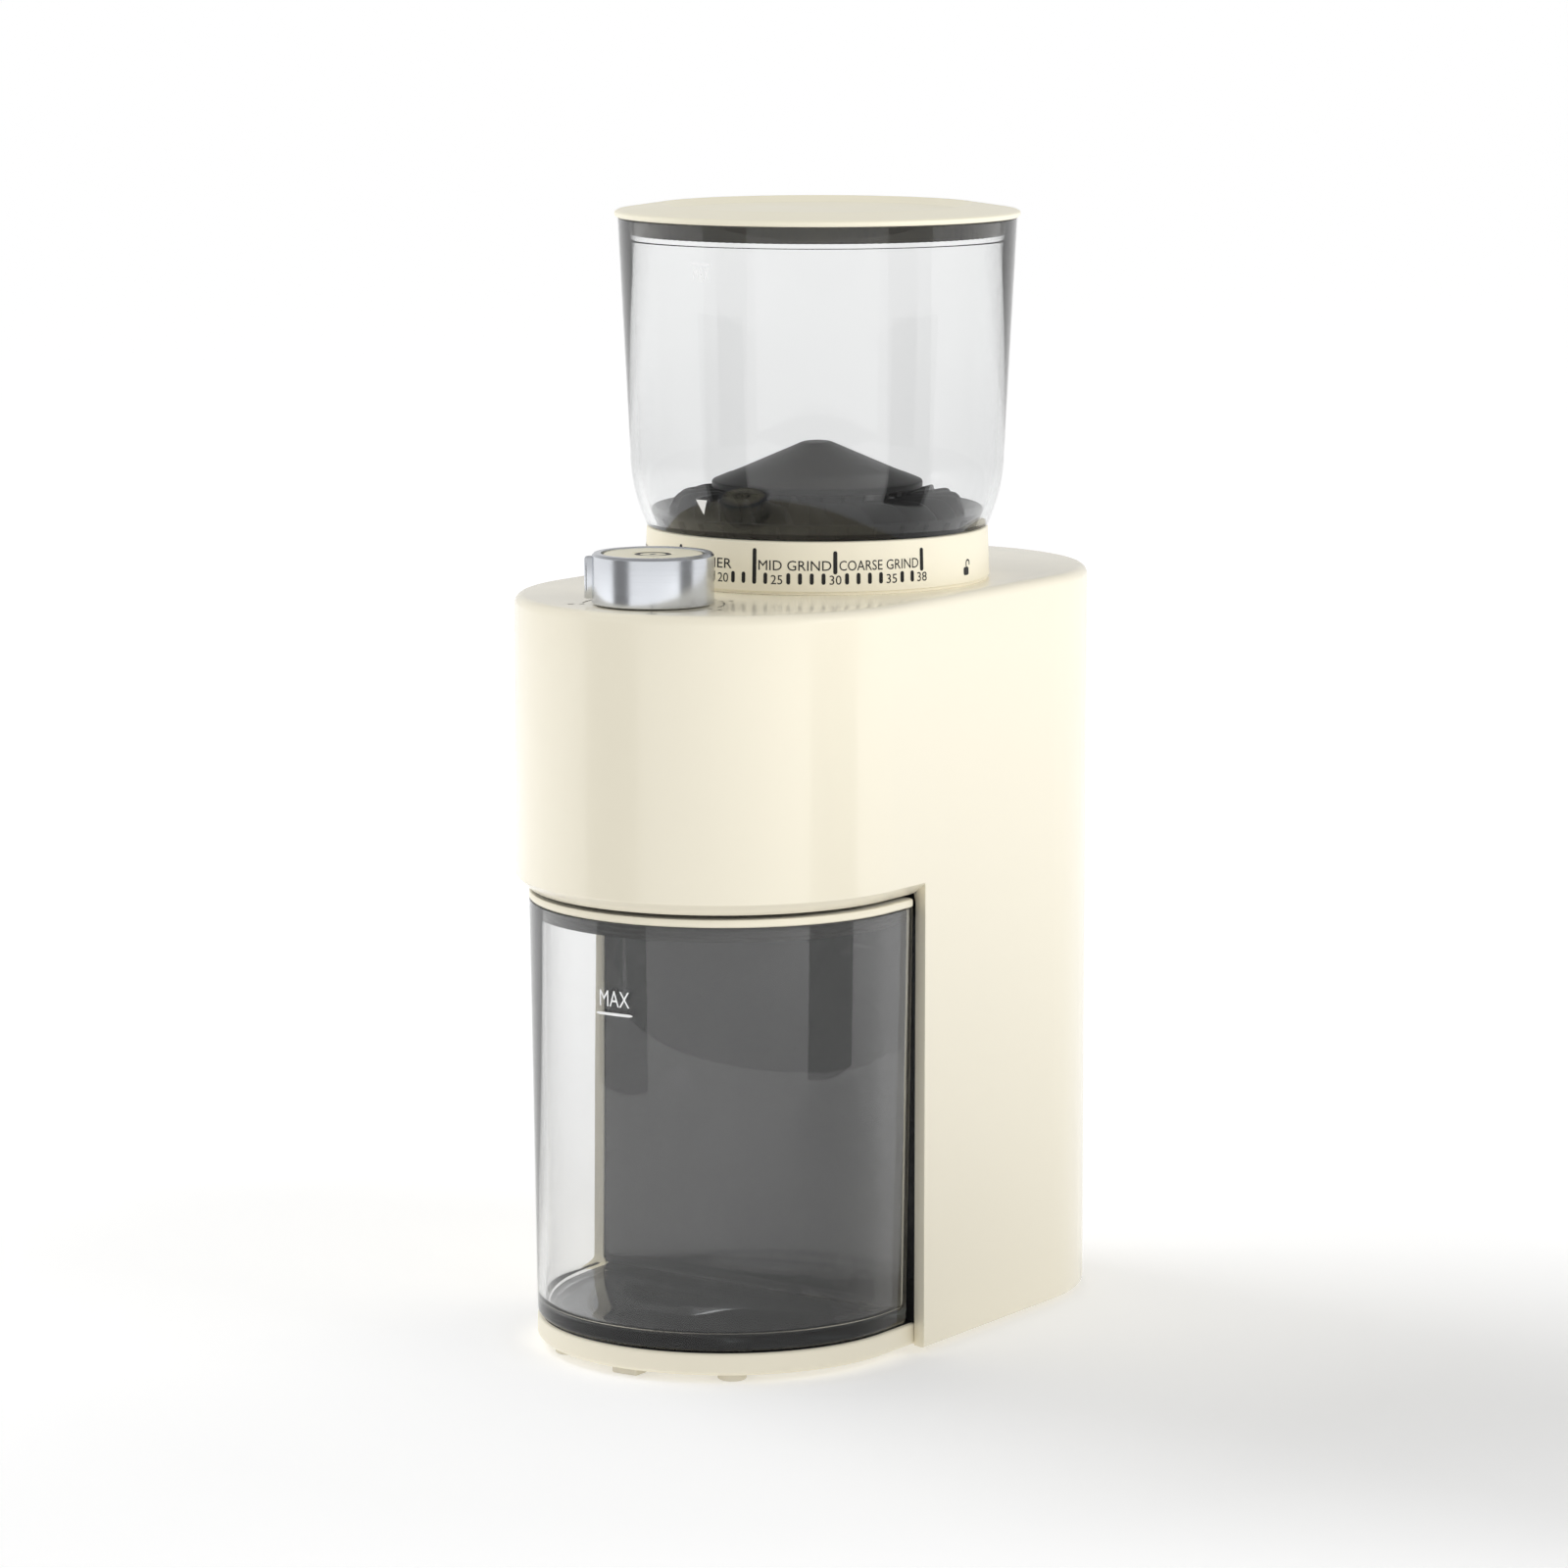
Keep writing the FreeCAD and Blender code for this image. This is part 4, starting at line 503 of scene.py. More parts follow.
class Effects:
    """Node groups that several materials share, each built once."""

    def __init__(self) -> None:
        """Builds the groups."""
        self.grain = self.build_grain()
        self.mottle = self.build_mottle()
        self.brushed = self.build_brushed()
        self.dust = self.build_dust()

    @staticmethod
    def group(name: str, inputs: dict[str, tuple[str, object]],
              outputs: dict[str, str]) -> tuple[Tree, bpy.types.NodeOutputs, bpy.types.Node]:
        """A new shader node group with its sockets.

        Args:
            name: the group's name.
            inputs: the kind and the value of each input.
            outputs: the kind of each output.

        Returns:
            The group's tree, the sockets that its inputs arrive by, and its output node.
        """
        made = bpy.data.node_groups.new(name, "ShaderNodeTree")
        for label, (kind, default) in inputs.items():
            socket = made.interface.new_socket(name=label, in_out="INPUT", socket_type="NodeSocket" + kind)
            if default is not None:
                socket.default_value = default
        for label, kind in outputs.items():
            made.interface.new_socket(name=label, in_out="OUTPUT", socket_type="NodeSocket" + kind)
        return Tree(made), made.nodes.new("NodeGroupInput").outputs, made.nodes.new("NodeGroupOutput")

    def build_grain(self) -> bpy.types.NodeTree:
        """Moulded grain: a fine noise over a slow one, as a height and as a mask."""
        tree, given, end = self.group("moulded grain", {"Scale": ("Float", 900.0), "Waviness": ("Float", 0.5)},
                                      {"Height": "Float", "Mask": "Float"})
        place = tree.add("TexCoord").outputs["Object"]
        fine = tree.add("TexNoise", {"Vector": place, "Scale": given["Scale"], "Detail": 3.0}).outputs["Fac"]
        slow = tree.add("TexNoise", {"Vector": place, "Scale": 26.0, "Detail": 2.0}).outputs["Fac"]
        mix = tree.add("Mix", {"Factor": given["Waviness"], "A": fine, "B": slow})
        tree.feed(end, {"Height": mix.outputs["Result"], "Mask": slow})
        return tree.tree

    def build_mottle(self) -> bpy.types.NodeTree:
        """A slight drift of a colour over the surface: its value is 1 + amount (noise - 0.5) times itself."""
        tree, given, end = self.group("colour drift", {"Colour": ("Color", (0.8, 0.8, 0.8, 1.0)),
                                                       "Amount": ("Float", 0.04), "Scale": ("Float", 14.0)},
                                                       {"Colour": "Color"})
        place = tree.add("TexCoord").outputs["Object"]
        noise = tree.add("TexNoise", {"Vector": place, "Scale": given["Scale"], "Detail": 4.0})
        centre = tree.add("Math", {0: noise.outputs["Fac"], 1: 0.5}, operation="SUBTRACT")
        scale = tree.add("Math", {0: centre.outputs[0], 1: given["Amount"]}, operation="MULTIPLY")
        value = tree.add("Math", {0: scale.outputs[0], 1: 1.0}, operation="ADD")
        shade = tree.add("HueSaturation", {"Value": value.outputs[0], "Color": given["Colour"]})
        tree.feed(end, {"Colour": shade.outputs["Color"]})
        return tree.tree

    def build_brushed(self) -> bpy.types.NodeTree:
        """Turned lines: a noise that changes fast with radius and height and slowly round the axis."""
        tree, given, end = self.group("turned lines", {"Vector": ("Vector", None), "Scale": ("Float", 2500.0)},
                                      {"Height": "Float", "Mask": "Float"})
        split = tree.add("SeparateXYZ", {0: given["Vector"]}).outputs
        level = tree.add("CombineXYZ", {"X": split["X"], "Y": split["Y"]})
        length = tree.add("VectorMath", {0: level.outputs[0]}, operation="LENGTH")
        spot = tree.add("CombineXYZ", {"X": length.outputs["Value"], "Z": split["Z"]})
        noise = tree.add("TexNoise", {"Vector": spot.outputs[0], "Scale": given["Scale"], "Detail": 2.0}).outputs["Fac"]
        tree.feed(end, {"Height": noise, "Mask": noise})
        return tree.tree

    def build_dust(self) -> bpy.types.NodeTree:
        """Fine dust where a surface faces up: the upward share of the normal, broken by a noise."""
        tree, given, end = self.group("settled dust", {"Colour": ("Color", (0.5, 0.5, 0.5, 1.0)),
                                                       "Dust": ("Color", (0.5, 0.42, 0.33, 1.0)),
                                                       "Amount": ("Float", 0.1)}, {"Colour": "Color",
                                                                                   "Mask": "Float"})
        noise = tree.add("TexNoise", {"Vector": tree.add("TexCoord").outputs["Object"], "Scale": 160.0, "Detail": 5.0})
        split = tree.add("SeparateXYZ", {0: tree.add("NewGeometry").outputs["Normal"]})
        up = tree.add("Math", {0: split.outputs["Z"], 1: noise.outputs["Fac"]}, operation="MULTIPLY", use_clamp=True)
        amount = tree.add("Math", {0: up.outputs[0], 1: given["Amount"]}, operation="MULTIPLY", use_clamp=True)
        mix = tree.add("Mix", {"Factor": amount.outputs[0], "A": given["Colour"], "B": given["Dust"]}, data_type="RGBA")
        tree.feed(end, {"Colour": mix.outputs["Result"], "Mask": up.outputs[0]})
        return tree.tree


def colour(red: float, green: float, blue: float) -> tuple[float, float, float, float]:
    """A display colour of 0 to 255 as the linear colour that shaders take."""
    share = np.array([red, green, blue]) / 255.0
    linear = np.where(share <= 0.04045, share / 12.92, ((share + 0.055) / 1.055) ** 2.4)
    return (float(linear[0]), float(linear[1]), float(linear[2]), 1.0)


@dataclass(frozen=True)
class Finish:
    """A surface finish: colour with a drift, roughness with a spread, and a fine height.

    The roughness is the middle value plus the spread times a mask that changes over the surface.
    """

    name: str
    tint: tuple[float, float, float, float]
    roughness: float = 0.35
    spread: float = 0.08
    drift: float = 0.03
    grain: float = 900.0
    waviness: float = 0.5
    height: float = 0.02
    depth: float = 0.00005
    metallic: float = 0.0
    specular: float = 0.5
    coat: float = 0.0
    dust: float = 0.0
    turned: tuple[float, float] | None = None
    subsurface: float = 0.0

    def made(self, effects: Effects) -> bpy.types.Material:
        """Builds the material.

        Args:
            effects: the shared node groups.

        Returns:
            The material, with one Principled shader.
        """
        material, tree, shader = blank(self.name)
        tree.feed(shader, {"Metallic": self.metallic, "Specular IOR Level": self.specular, "Coat Weight": self.coat,
                           "Coat Roughness": 0.06})
        if self.subsurface:
            tree.feed(shader, {"Subsurface Weight": self.subsurface, "Subsurface Scale": 0.002})
        tint = tree.add("Group", {"Colour": self.tint, "Amount": self.drift * 2},
                        node_tree=effects.mottle).outputs["Colour"]
        if self.dust:
            tint = tree.add("Group", {"Colour": tint, "Amount": self.dust}, node_tree=effects.dust).outputs["Colour"]
        if self.turned is None:
            texture = tree.add("Group", {"Scale": self.grain, "Waviness": self.waviness}, node_tree=effects.grain)
        else:
            shift = tree.add("Mapping", {"Vector": tree.add("TexCoord").outputs["Object"],
                                         "Location": (-self.turned[0] * MM, -self.turned[1] * MM, 0.0)})
            texture = tree.add("Group", {"Scale": self.grain, "Vector": shift.outputs["Vector"]},
                               node_tree=effects.brushed)
        rough = tree.add("MapRange", {"Value": texture.outputs["Mask"], "From Min": 0.3, "From Max": 0.7,
                                      "To Min": max(self.roughness - self.spread, 0.02),
                                      "To Max": min(self.roughness + self.spread, 1.0)})
        bump = tree.add("Bump", {"Height": texture.outputs["Height"], "Strength": self.height, "Distance": self.depth})
        tree.feed(shader, {"Base Color": tint, "Roughness": rough.outputs["Result"], "Normal": bump.outputs["Normal"]})
        return material


@dataclass(frozen=True)
class ClearPlastic:
    """Polished clear plastic, lit through, a little smoky along its edges."""

    name: str
    tint: tuple[float, float, float, float]
    density: float
    index: float = 1.49
    roughness: float = 0.004

    def made(self, effects: Effects) -> bpy.types.Material:
        """Builds the material: a transmitting shader, swapped for a plain filter on rays from lamps.

        Args:
            effects: the shared node groups.

        Returns:
            The material.
        """
        material, tree, shader = blank(self.name)
        drift = tree.add("Group", {"Colour": (1.0, 1.0, 1.0, 1.0), "Amount": 0.01}, node_tree=effects.mottle)
        texture = tree.add("Group", {"Scale": 300.0, "Waviness": 0.9}, node_tree=effects.grain)
        rough = tree.add("MapRange", {"Value": texture.outputs["Mask"], "To Min": 0.0, "To Max": self.roughness * 2})
        tree.feed(shader, {"Transmission Weight": 1.0, "IOR": self.index, "Base Color": drift.outputs["Colour"],
                           "Roughness": rough.outputs["Result"]})
        volume = tree.add("VolumeAbsorption", {"Color": self.tint, "Density": self.density})
        clear = tree.add("BsdfTransparent", {"Color": (0.93, 0.93, 0.93, 1.0)})
        mix = tree.add("MixShader", {"Fac": tree.add("LightPath").outputs["Is Shadow Ray"], 1: shader.outputs["BSDF"],
                                     2: clear.outputs["BSDF"]})
        tree.feed(material.node_tree.nodes["Material Output"], {"Surface": mix.outputs["Shader"],
                                                                "Volume": volume.outputs["Volume"]})
        return material


CREAM = colour(247, 240, 219)
FINISHES: dict[str, Finish | ClearPlastic] = {finish.name: finish for finish in (
    Finish("cream_shell", CREAM, roughness=0.24, spread=0.03, drift=0.004, height=0.05, coat=0.35),
    Finish("cream_base", CREAM, roughness=0.38, spread=0.05, drift=0.02, height=0.08),
    Finish("cream_dial", colour(246, 239, 217), roughness=0.42, spread=0.04, drift=0.012, grain=1500.0, height=0.1),
    Finish("cream_lid", colour(243, 237, 215), roughness=0.36, spread=0.04, drift=0.004, height=0.03),
    Finish("cream_container_lid", CREAM, roughness=0.34, spread=0.05, drift=0.015, height=0.06),
    Finish("button_cream", colour(236, 230, 206), roughness=0.4, spread=0.05, drift=0.015, grain=1500.0, height=0.08),
    Finish("dark_liner", colour(28, 28, 28), roughness=0.26, spread=0.02, drift=0.03, grain=1200.0, height=0.004,
           specular=0.24),
    Finish("black_funnel", colour(18, 18, 19), roughness=0.2, spread=0.04, drift=0.05, height=0.01, specular=0.14),
    Finish("black_guard", colour(26, 26, 26), roughness=0.34, spread=0.04, drift=0.03, grain=700.0, height=0.01,
           specular=0.12),
    Finish("black_plastic", colour(52, 52, 54), roughness=0.5, spread=0.1, drift=0.08, height=0.2, dust=0.08),
    ClearPlastic("clear_hopper", (0.72, 0.73, 0.73, 1.0), 165.0),
    ClearPlastic("clear_container", (0.74, 0.75, 0.75, 1.0), 110.0),
    Finish("knob_metal", colour(214, 217, 222), roughness=0.23, spread=0.03, drift=0.01, grain=3200.0, height=0.012,
           metallic=1.0, turned=KNOB_AXIS),
    Finish("foot_rubber", colour(226, 220, 203), roughness=0.7, spread=0.08, drift=0.04, height=0.3),
    Finish("gland_rubber", colour(70, 70, 70), roughness=0.65, spread=0.1, drift=0.05, height=0.25),
    Finish("lid_gasket", colour(48, 45, 35), roughness=0.12, spread=0.03, drift=0.06, height=0.02, metallic=0.95),
    Finish("container_gasket", colour(84, 84, 82), roughness=0.6, spread=0.08, drift=0.08, height=0.2),
    Finish("throat_seal", colour(120, 118, 112), roughness=0.6, spread=0.08, drift=0.05, height=0.2),
    Finish("burr_steel", colour(176, 178, 182), roughness=0.3, spread=0.12, drift=0.06, grain=700.0, height=0.3,
           metallic=1.0, dust=0.12),
    Finish("shaft_steel", colour(190, 192, 196), roughness=0.24, spread=0.08, drift=0.05, grain=900.0, height=0.15,
           metallic=1.0),
    Finish("bush_bronze", colour(196, 150, 92), roughness=0.36, spread=0.12, drift=0.1, grain=600.0, height=0.3,
           metallic=1.0),
    Finish("chamber_plastic", colour(70, 71, 74), roughness=0.46, spread=0.1, drift=0.06, height=0.2, dust=0.2),
    Finish("gearbox_plastic", colour(222, 220, 212), roughness=0.42, spread=0.1, drift=0.05, height=0.15),
    Finish("gear_nylon", colour(232, 228, 214), roughness=0.4, spread=0.1, drift=0.06, height=0.15, dust=0.08,
           subsurface=0.1),
    Finish("pinion_steel", colour(168, 168, 172), roughness=0.32, spread=0.12, drift=0.08, height=0.2, metallic=1.0),
    Finish("motor_steel", colour(182, 184, 186), roughness=0.36, spread=0.12, drift=0.08, grain=500.0, height=0.2,
           metallic=1.0),
    Finish("magnet", colour(78, 76, 78), roughness=0.55, spread=0.1, drift=0.1, height=0.3),
    Finish("armature", colour(184, 112, 66), roughness=0.38, spread=0.12, drift=0.2, grain=1200.0, height=0.6,
           metallic=0.8, turned=(0.0, 61.9)),
    Finish("circuit_board", colour(38, 98, 62), roughness=0.38, spread=0.12, drift=0.25, grain=1500.0, height=0.2,
           dust=0.08),
    Finish("component_blue", colour(36, 64, 118), roughness=0.35, spread=0.1, drift=0.08, height=0.1, dust=0.08),
    Finish("component_yellow", colour(226, 186, 66), roughness=0.5, spread=0.1, drift=0.12, height=0.2, dust=0.08),
    Finish("screw_steel", colour(168, 170, 172), roughness=0.34, spread=0.14, drift=0.1, grain=800.0, height=0.3,
           metallic=1.0),
    Finish("scale_ink", colour(14, 13, 12), roughness=0.5, spread=0.06, drift=0.1, height=0.05),
    Finish("grey_ink", colour(120, 117, 106), roughness=0.5, spread=0.06, drift=0.1, height=0.05),
    Finish("white_ink", colour(255, 255, 255), roughness=0.5, spread=0.06, drift=0.02, height=0.05),
)}


# ---------------------------------------------------------------------------------------------
# Sub-assemblies
# ---------------------------------------------------------------------------------------------
class Workshop:
    """Dresses pieces: finish, slot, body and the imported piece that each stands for."""

    def __init__(self, frame: dict) -> None:
        """Builds every finish.

        Args:
            frame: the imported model.
        """
        self.frame = frame
        self.effects = Effects()
        self.materials = {name: finish.made(self.effects) for name, finish in FINISHES.items()}

    def corners(self, node: str) -> tuple[np.ndarray, np.ndarray]:
        """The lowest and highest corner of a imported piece, in millimetres."""
        low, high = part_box(node)
        return np.array(low) / MM, np.array(high) / MM

    def dress(self, piece: bpy.types.Object, finish: str, body: Body, stands_for: tuple[str, ...] = ()) -> None:
        """Gives a piece its finish and its body, and logs it.

        Args:
            piece: the object.
            finish: the name of its finish.
            body: the body it rides on.
            stands_for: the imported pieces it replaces; the finish has the name of their slot.
        """
        piece.data.materials.clear()
        piece.data.materials.append(self.materials[finish])
        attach(piece, body.value)
        if stands_for:
            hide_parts(*stands_for)
        LOG.info("made %s: %d faces, rides on %s", piece.name, len(piece.data.polygons), body.value)

    def keep(self) -> None:
        """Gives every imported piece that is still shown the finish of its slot."""
        for name, node in self.frame["nodes"].items():
            for slot in node.material_slots:
                if slot.material is not None and slot.material.name.split(".")[0] in FINISHES:
                    slot.material = self.materials[slot.material.name.split(".")[0]]
            LOG.info("kept %s", name)


@dataclass
class Shell:
    """The outer shell: deck, rounded front with its overhanging lip, sides and rounded back."""

    shop: Workshop
    straight: float = 47.0
    deck_round: float = 3.0
    lip_in: float = 4.0
    lip_rise: float = 3.7
    lip: float = 143.0
    bay_edge: float = -30.5
    bevel_in: float = 4.6
    bevel_back: float = 1.5
    hole: float = 45.0
    wall: float = 2.5
    low: np.ndarray = field(init=False)
    high: np.ndarray = field(init=False)

    def __post_init__(self) -> None:
        """Reads the shell's box."""
        self.low, self.high = self.shop.corners("main_housing")

    def half_path(self, rear: bool) -> tuple[np.ndarray, np.ndarray]:
        """One half of the plan with its outward normals: a straight side, a half circle and a straight side.

        On the half circle the normal is (cos a, sin a), and a point is the arc's centre plus the half width times it.

        Args:
            rear: the half behind the bay's edge, or else the half in front.

        Returns:
            Points and normals, one row each, counter-clockwise.
        """
        width, sign = self.high[0], 1.0 if rear else -1.0
        angle = np.linspace(0.0, math.pi, 97) + (0.0 if rear else math.pi)
        round_normal = np.stack([np.cos(angle), np.sin(angle)], axis=1)
        round_point = round_normal * width + np.array([0.0, sign * self.straight])
        y = np.linspace(self.bay_edge, sign * self.straight, 9)[:-1]
        first = np.stack([np.full_like(y, sign * width), y], axis=1)
        last = first[::-1] * np.array([-1.0, 1.0])
        side = np.tile([sign, 0.0], (len(y), 1))
        return np.vstack([first, round_point, last]), np.vstack([side, round_normal, -side])

    def band(self, path: tuple[np.ndarray, np.ndarray], profile: np.ndarray) -> np.ndarray:
        """A profile carried along a plan: point (i, j) is p_j - inset_i n_j at height_i.

        Args:
            path: the points p and the outward normals n.
            profile: rows of (inset, height).

        Returns:
            Points of shape (profile rows, path points, 3).
        """
        points, normals = path
        plan = points[None] - profile[:, 0, None, None] * normals[None]
        height = np.broadcast_to(profile[:, 1, None, None], plan.shape[:2] + (1,))
        return np.concatenate([plan, height], axis=-1)

    def build(self) -> None:
        """Builds the shell and the marks printed on its deck."""
        rear, front = self.half_path(True), self.half_path(False)
        whole = (np.vstack([rear[0], front[0]]), np.vstack([rear[1], front[1]]))
        top, foot = self.high[2], self.low[2]
        sweep = np.linspace(math.pi / 2, 0.0, 8)
        fillet = np.stack([self.deck_round * (1 - np.cos(sweep)), top - self.deck_round * (1 - np.sin(sweep))], axis=1)
        levels = np.linspace(top - self.deck_round, self.lip + self.lip_rise, 7)[1:]
        upper = self.band(whole, np.vstack([fillet, np.stack([np.zeros_like(levels), levels], axis=1)]))
        rim = upper[0]
        turn = np.arctan2(rim[:, 1] - GRIND_AXIS[1], rim[:, 0] - GRIND_AXIS[0])
        circle = around(GRIND_AXIS, self.hole, turn, top)
        share = np.linspace(0.0, 1.0, 6)[:, None, None]
        sheets = Sheets("outer_shell")
        sheets.grid(circle[None] * (1 - share) + rim[None] * share, wrap_columns=True)
        sheets.grid(upper, wrap_columns=True)
        lip = self.band(front, np.array([[0.0, self.lip + self.lip_rise], [self.lip_in, self.lip]]))
        inner = np.array([self.high[0] - self.bevel_in, self.bay_edge + self.bevel_back, self.lip])
        lip[1, 0], lip[1, -1] = inner * np.array([-1, 1, 1]), inner
        sheets.grid(lip)
        down = np.linspace(self.lip + self.lip_rise, foot + 0.8, 7)
        profile = np.vstack([np.stack([np.zeros_like(down), down], axis=1), [[0.25, foot + 0.25], [0.8, foot]]])
        wall = self.band(rear, profile)
        sheets.grid(wall)
        for sign, column in ((1.0, 0), (-1.0, -1)):
            edge = wall[:, column]
            height = np.linspace(self.lip, foot, len(edge))
            bevel = np.stack([np.full_like(height, sign * inner[0]), np.full_like(height, inner[1]), height], axis=1)
            sheets.grid(np.stack([edge, bevel]))
        shell = sheets.made(sharp=30.0, weld=0.01)
        thickened(shell, self.wall)
        softened(shell, 0.35, angle=28.0)
        self.shop.dress(shell, "cream_shell", Body.HOUSING, ("main_housing",))
        self.mark_deck()

    def mark_deck(self) -> None:
        """Prints the small figures and the curved stroke round the knob: one figure every 54 degrees of its travel."""
        deck = Print("deck_print")
        top = self.high[2]
        for step, figure in enumerate(("0", "2", "4", "6", "8", "10")):
            turn = START_TURN - 54.0 * step
            x, y, _ = around(KNOB_AXIS, 24.6, math.radians(turn), top)
            deck.flat(lettering(figure, 2.3), x, y - 1.1, top)
            deck.flat(slab(1.9, 0.5, 0.2), *around(KNOB_AXIS, 21.3, math.radians(turn), top), turn)
        for start in np.arange(-50.0, 205.0, 54.0):
            deck.flat(arc_mark(21.3, 0.45, start + 4.0, start + 40.0), *KNOB_AXIS, top)
        self.shop.dress(deck.made(), "grey_ink", Body.HOUSING)


@dataclass
class Base:
    """The platform under the container, the bottom cover behind it, and the feet."""

    shop: Workshop
    centre: float = -45.3
    radius: float = 58.2
    top: float = 9.2
    back: float = -27.0
    cover: float = 4.9

    def plan(self, inset: float, columns: int = 160) -> np.ndarray:
        """The platform's plan: a half circle in front and square corners behind.

        Args:
            inset: how far it is drawn in.
            columns: how many points it has.

        Returns:
            The points, one row each.
        """
        radius = self.radius - inset
        angle = np.linspace(math.pi, 2 * math.pi, columns - 40)
        front = np.stack([radius * np.cos(angle), self.centre + radius * np.sin(angle)], axis=1)
        y = np.linspace(self.centre, self.back - inset, 11)[1:]
        right = np.stack([np.full_like(y, radius), y], axis=1)
        x = np.linspace(radius, -radius, 22)[1:-1]
        rear = np.stack([x, np.full_like(x, self.back - inset)], axis=1)
        return np.vstack([front, right, rear, right[::-1] * np.array([-1.0, 1.0])])

    def cover_plan(self, inset: float, columns: int = 120) -> np.ndarray:
        """The bottom cover's plan: square in front and a half circle at the back.

        Args:
            inset: how far it is drawn in.
            columns: how many points it has.

        Returns:
            The points, one row each.
        """
        radius, front = 60.1 - inset, self.back - 1.5 + inset
        angle = np.linspace(0.0, math.pi, columns - 20)
        rear = np.stack([radius * np.cos(angle), 47.0 + radius * np.sin(angle)], axis=1)
        x = np.linspace(-radius, radius, 20)
        return np.vstack([rear, np.stack([x, np.full_like(x, front)], axis=1)])

    def build(self) -> None:
        """Builds the platform, the cover and the feet."""
        foot = self.shop.corners("base_plate")[0][2]
        profile = rounded([(0.9, foot, 0.6), (0.0, foot + 0.9, 0.8), (0.0, self.top, 0.9), (6.0, self.top, 0.6),
                           (7.4, self.top - 0.7, 0.4), (17.0, self.top - 0.7, 0.0)], closed=False, steps=5)
        rows = [np.column_stack([self.plan(inset), np.full(160, z)]) for inset, z in profile]
        floor = np.column_stack([np.tile([0.0, -70.0], (160, 1)), np.full(160, self.top - 0.7)])
        under = np.column_stack([np.tile([0.0, -70.0], (160, 1)), np.full(160, foot)])
        platform = Sheets("base_platform")
        platform.grid(np.stack([under, *rows, floor]), wrap_columns=True)
        back = [np.column_stack([self.cover_plan(inset), np.full(120, z)])
                for inset, z in ((0.4, foot), (0.0, foot + 0.4), (0.0, self.cover), (0.3, self.cover))]
        middle = [np.column_stack([np.tile([0.0, 40.0], (120, 1)), np.full(120, z)]) for z in (foot, self.cover)]
        platform.grid(np.stack([middle[0], *back, middle[1]]), wrap_columns=True)
        # The vent slots are not cut through: thin black slabs just under the cover give their openings painted shade.
        slots = np.array([[7.0 * i, 60.0, foot - 0.05] for i in range(-3, 4)])
        self.shop.dress(platform.made(sharp=35.0), "cream_base", Body.HOUSING, ("base_plate",))
        vent_shade_slabs = Sheets("base_vent_shade").boxes(slots, (2.6, 28.0, 0.14)).made()
        self.shop.dress(vent_shade_slabs, "black_plastic", Body.HOUSING)
        self.mat()
        self.feet()

    def mat(self) -> None:
        """Lays the dark mat that the container slides on, in the platform's shallow recess."""
        levels = rounded([(1.3, self.top - 0.3, 0.0), (1.3, self.top + 0.12, 0.2), (17.0, self.top + 0.12, 0.0)],
                         closed=False, steps=5)
        rows = [np.column_stack([self.plan(inset), np.full(160, z)]) for inset, z in levels]
        middle = np.column_stack([np.tile([0.0, -70.0], (160, 1)), np.full(160, self.top + 0.12)])
        mat = Sheets("bay_mat").grid(np.stack([*rows, middle]), wrap_columns=True)
        self.shop.dress(mat.made(), "dark_liner", Body.HOUSING)

    def feet(self) -> None:
        """Builds each rubber foot: a turned stud with a dished sole, and the square pad in front."""
        for name in ("foot_front_right", "foot_front_left", "foot_rear_right", "foot_rear_left"):
            low, high = self.shop.corners(name)
            radius, centre = (high[0] - low[0]) / 2, (low[:2] + high[:2]) / 2
            profile = rounded([(0.0, high[2], 0.0), (radius, high[2], 0.3), (radius, 0.0, 0.7),
                               (radius - 1.5, 0.0, 0.3), (radius - 2.0, 0.4, 0.3), (0.0, 0.4, 0.0)], closed=False)
            stud = Sheets(name + "_rubber").grid(spun(profile, tuple(centre), 64), wrap_rows=True)
            self.shop.dress(stud.made(), "foot_rubber", Body.HOUSING, (name,))
        low, high = self.shop.corners("foot_front_centre")
        pad = Sheets("foot_front_pad").boxes(((low + high) / 2)[None], tuple(high - low)).made()
        softened(pad, 0.6, segments=3)
        self.shop.dress(pad, "foot_rubber", Body.HOUSING, ("foot_front_centre",))


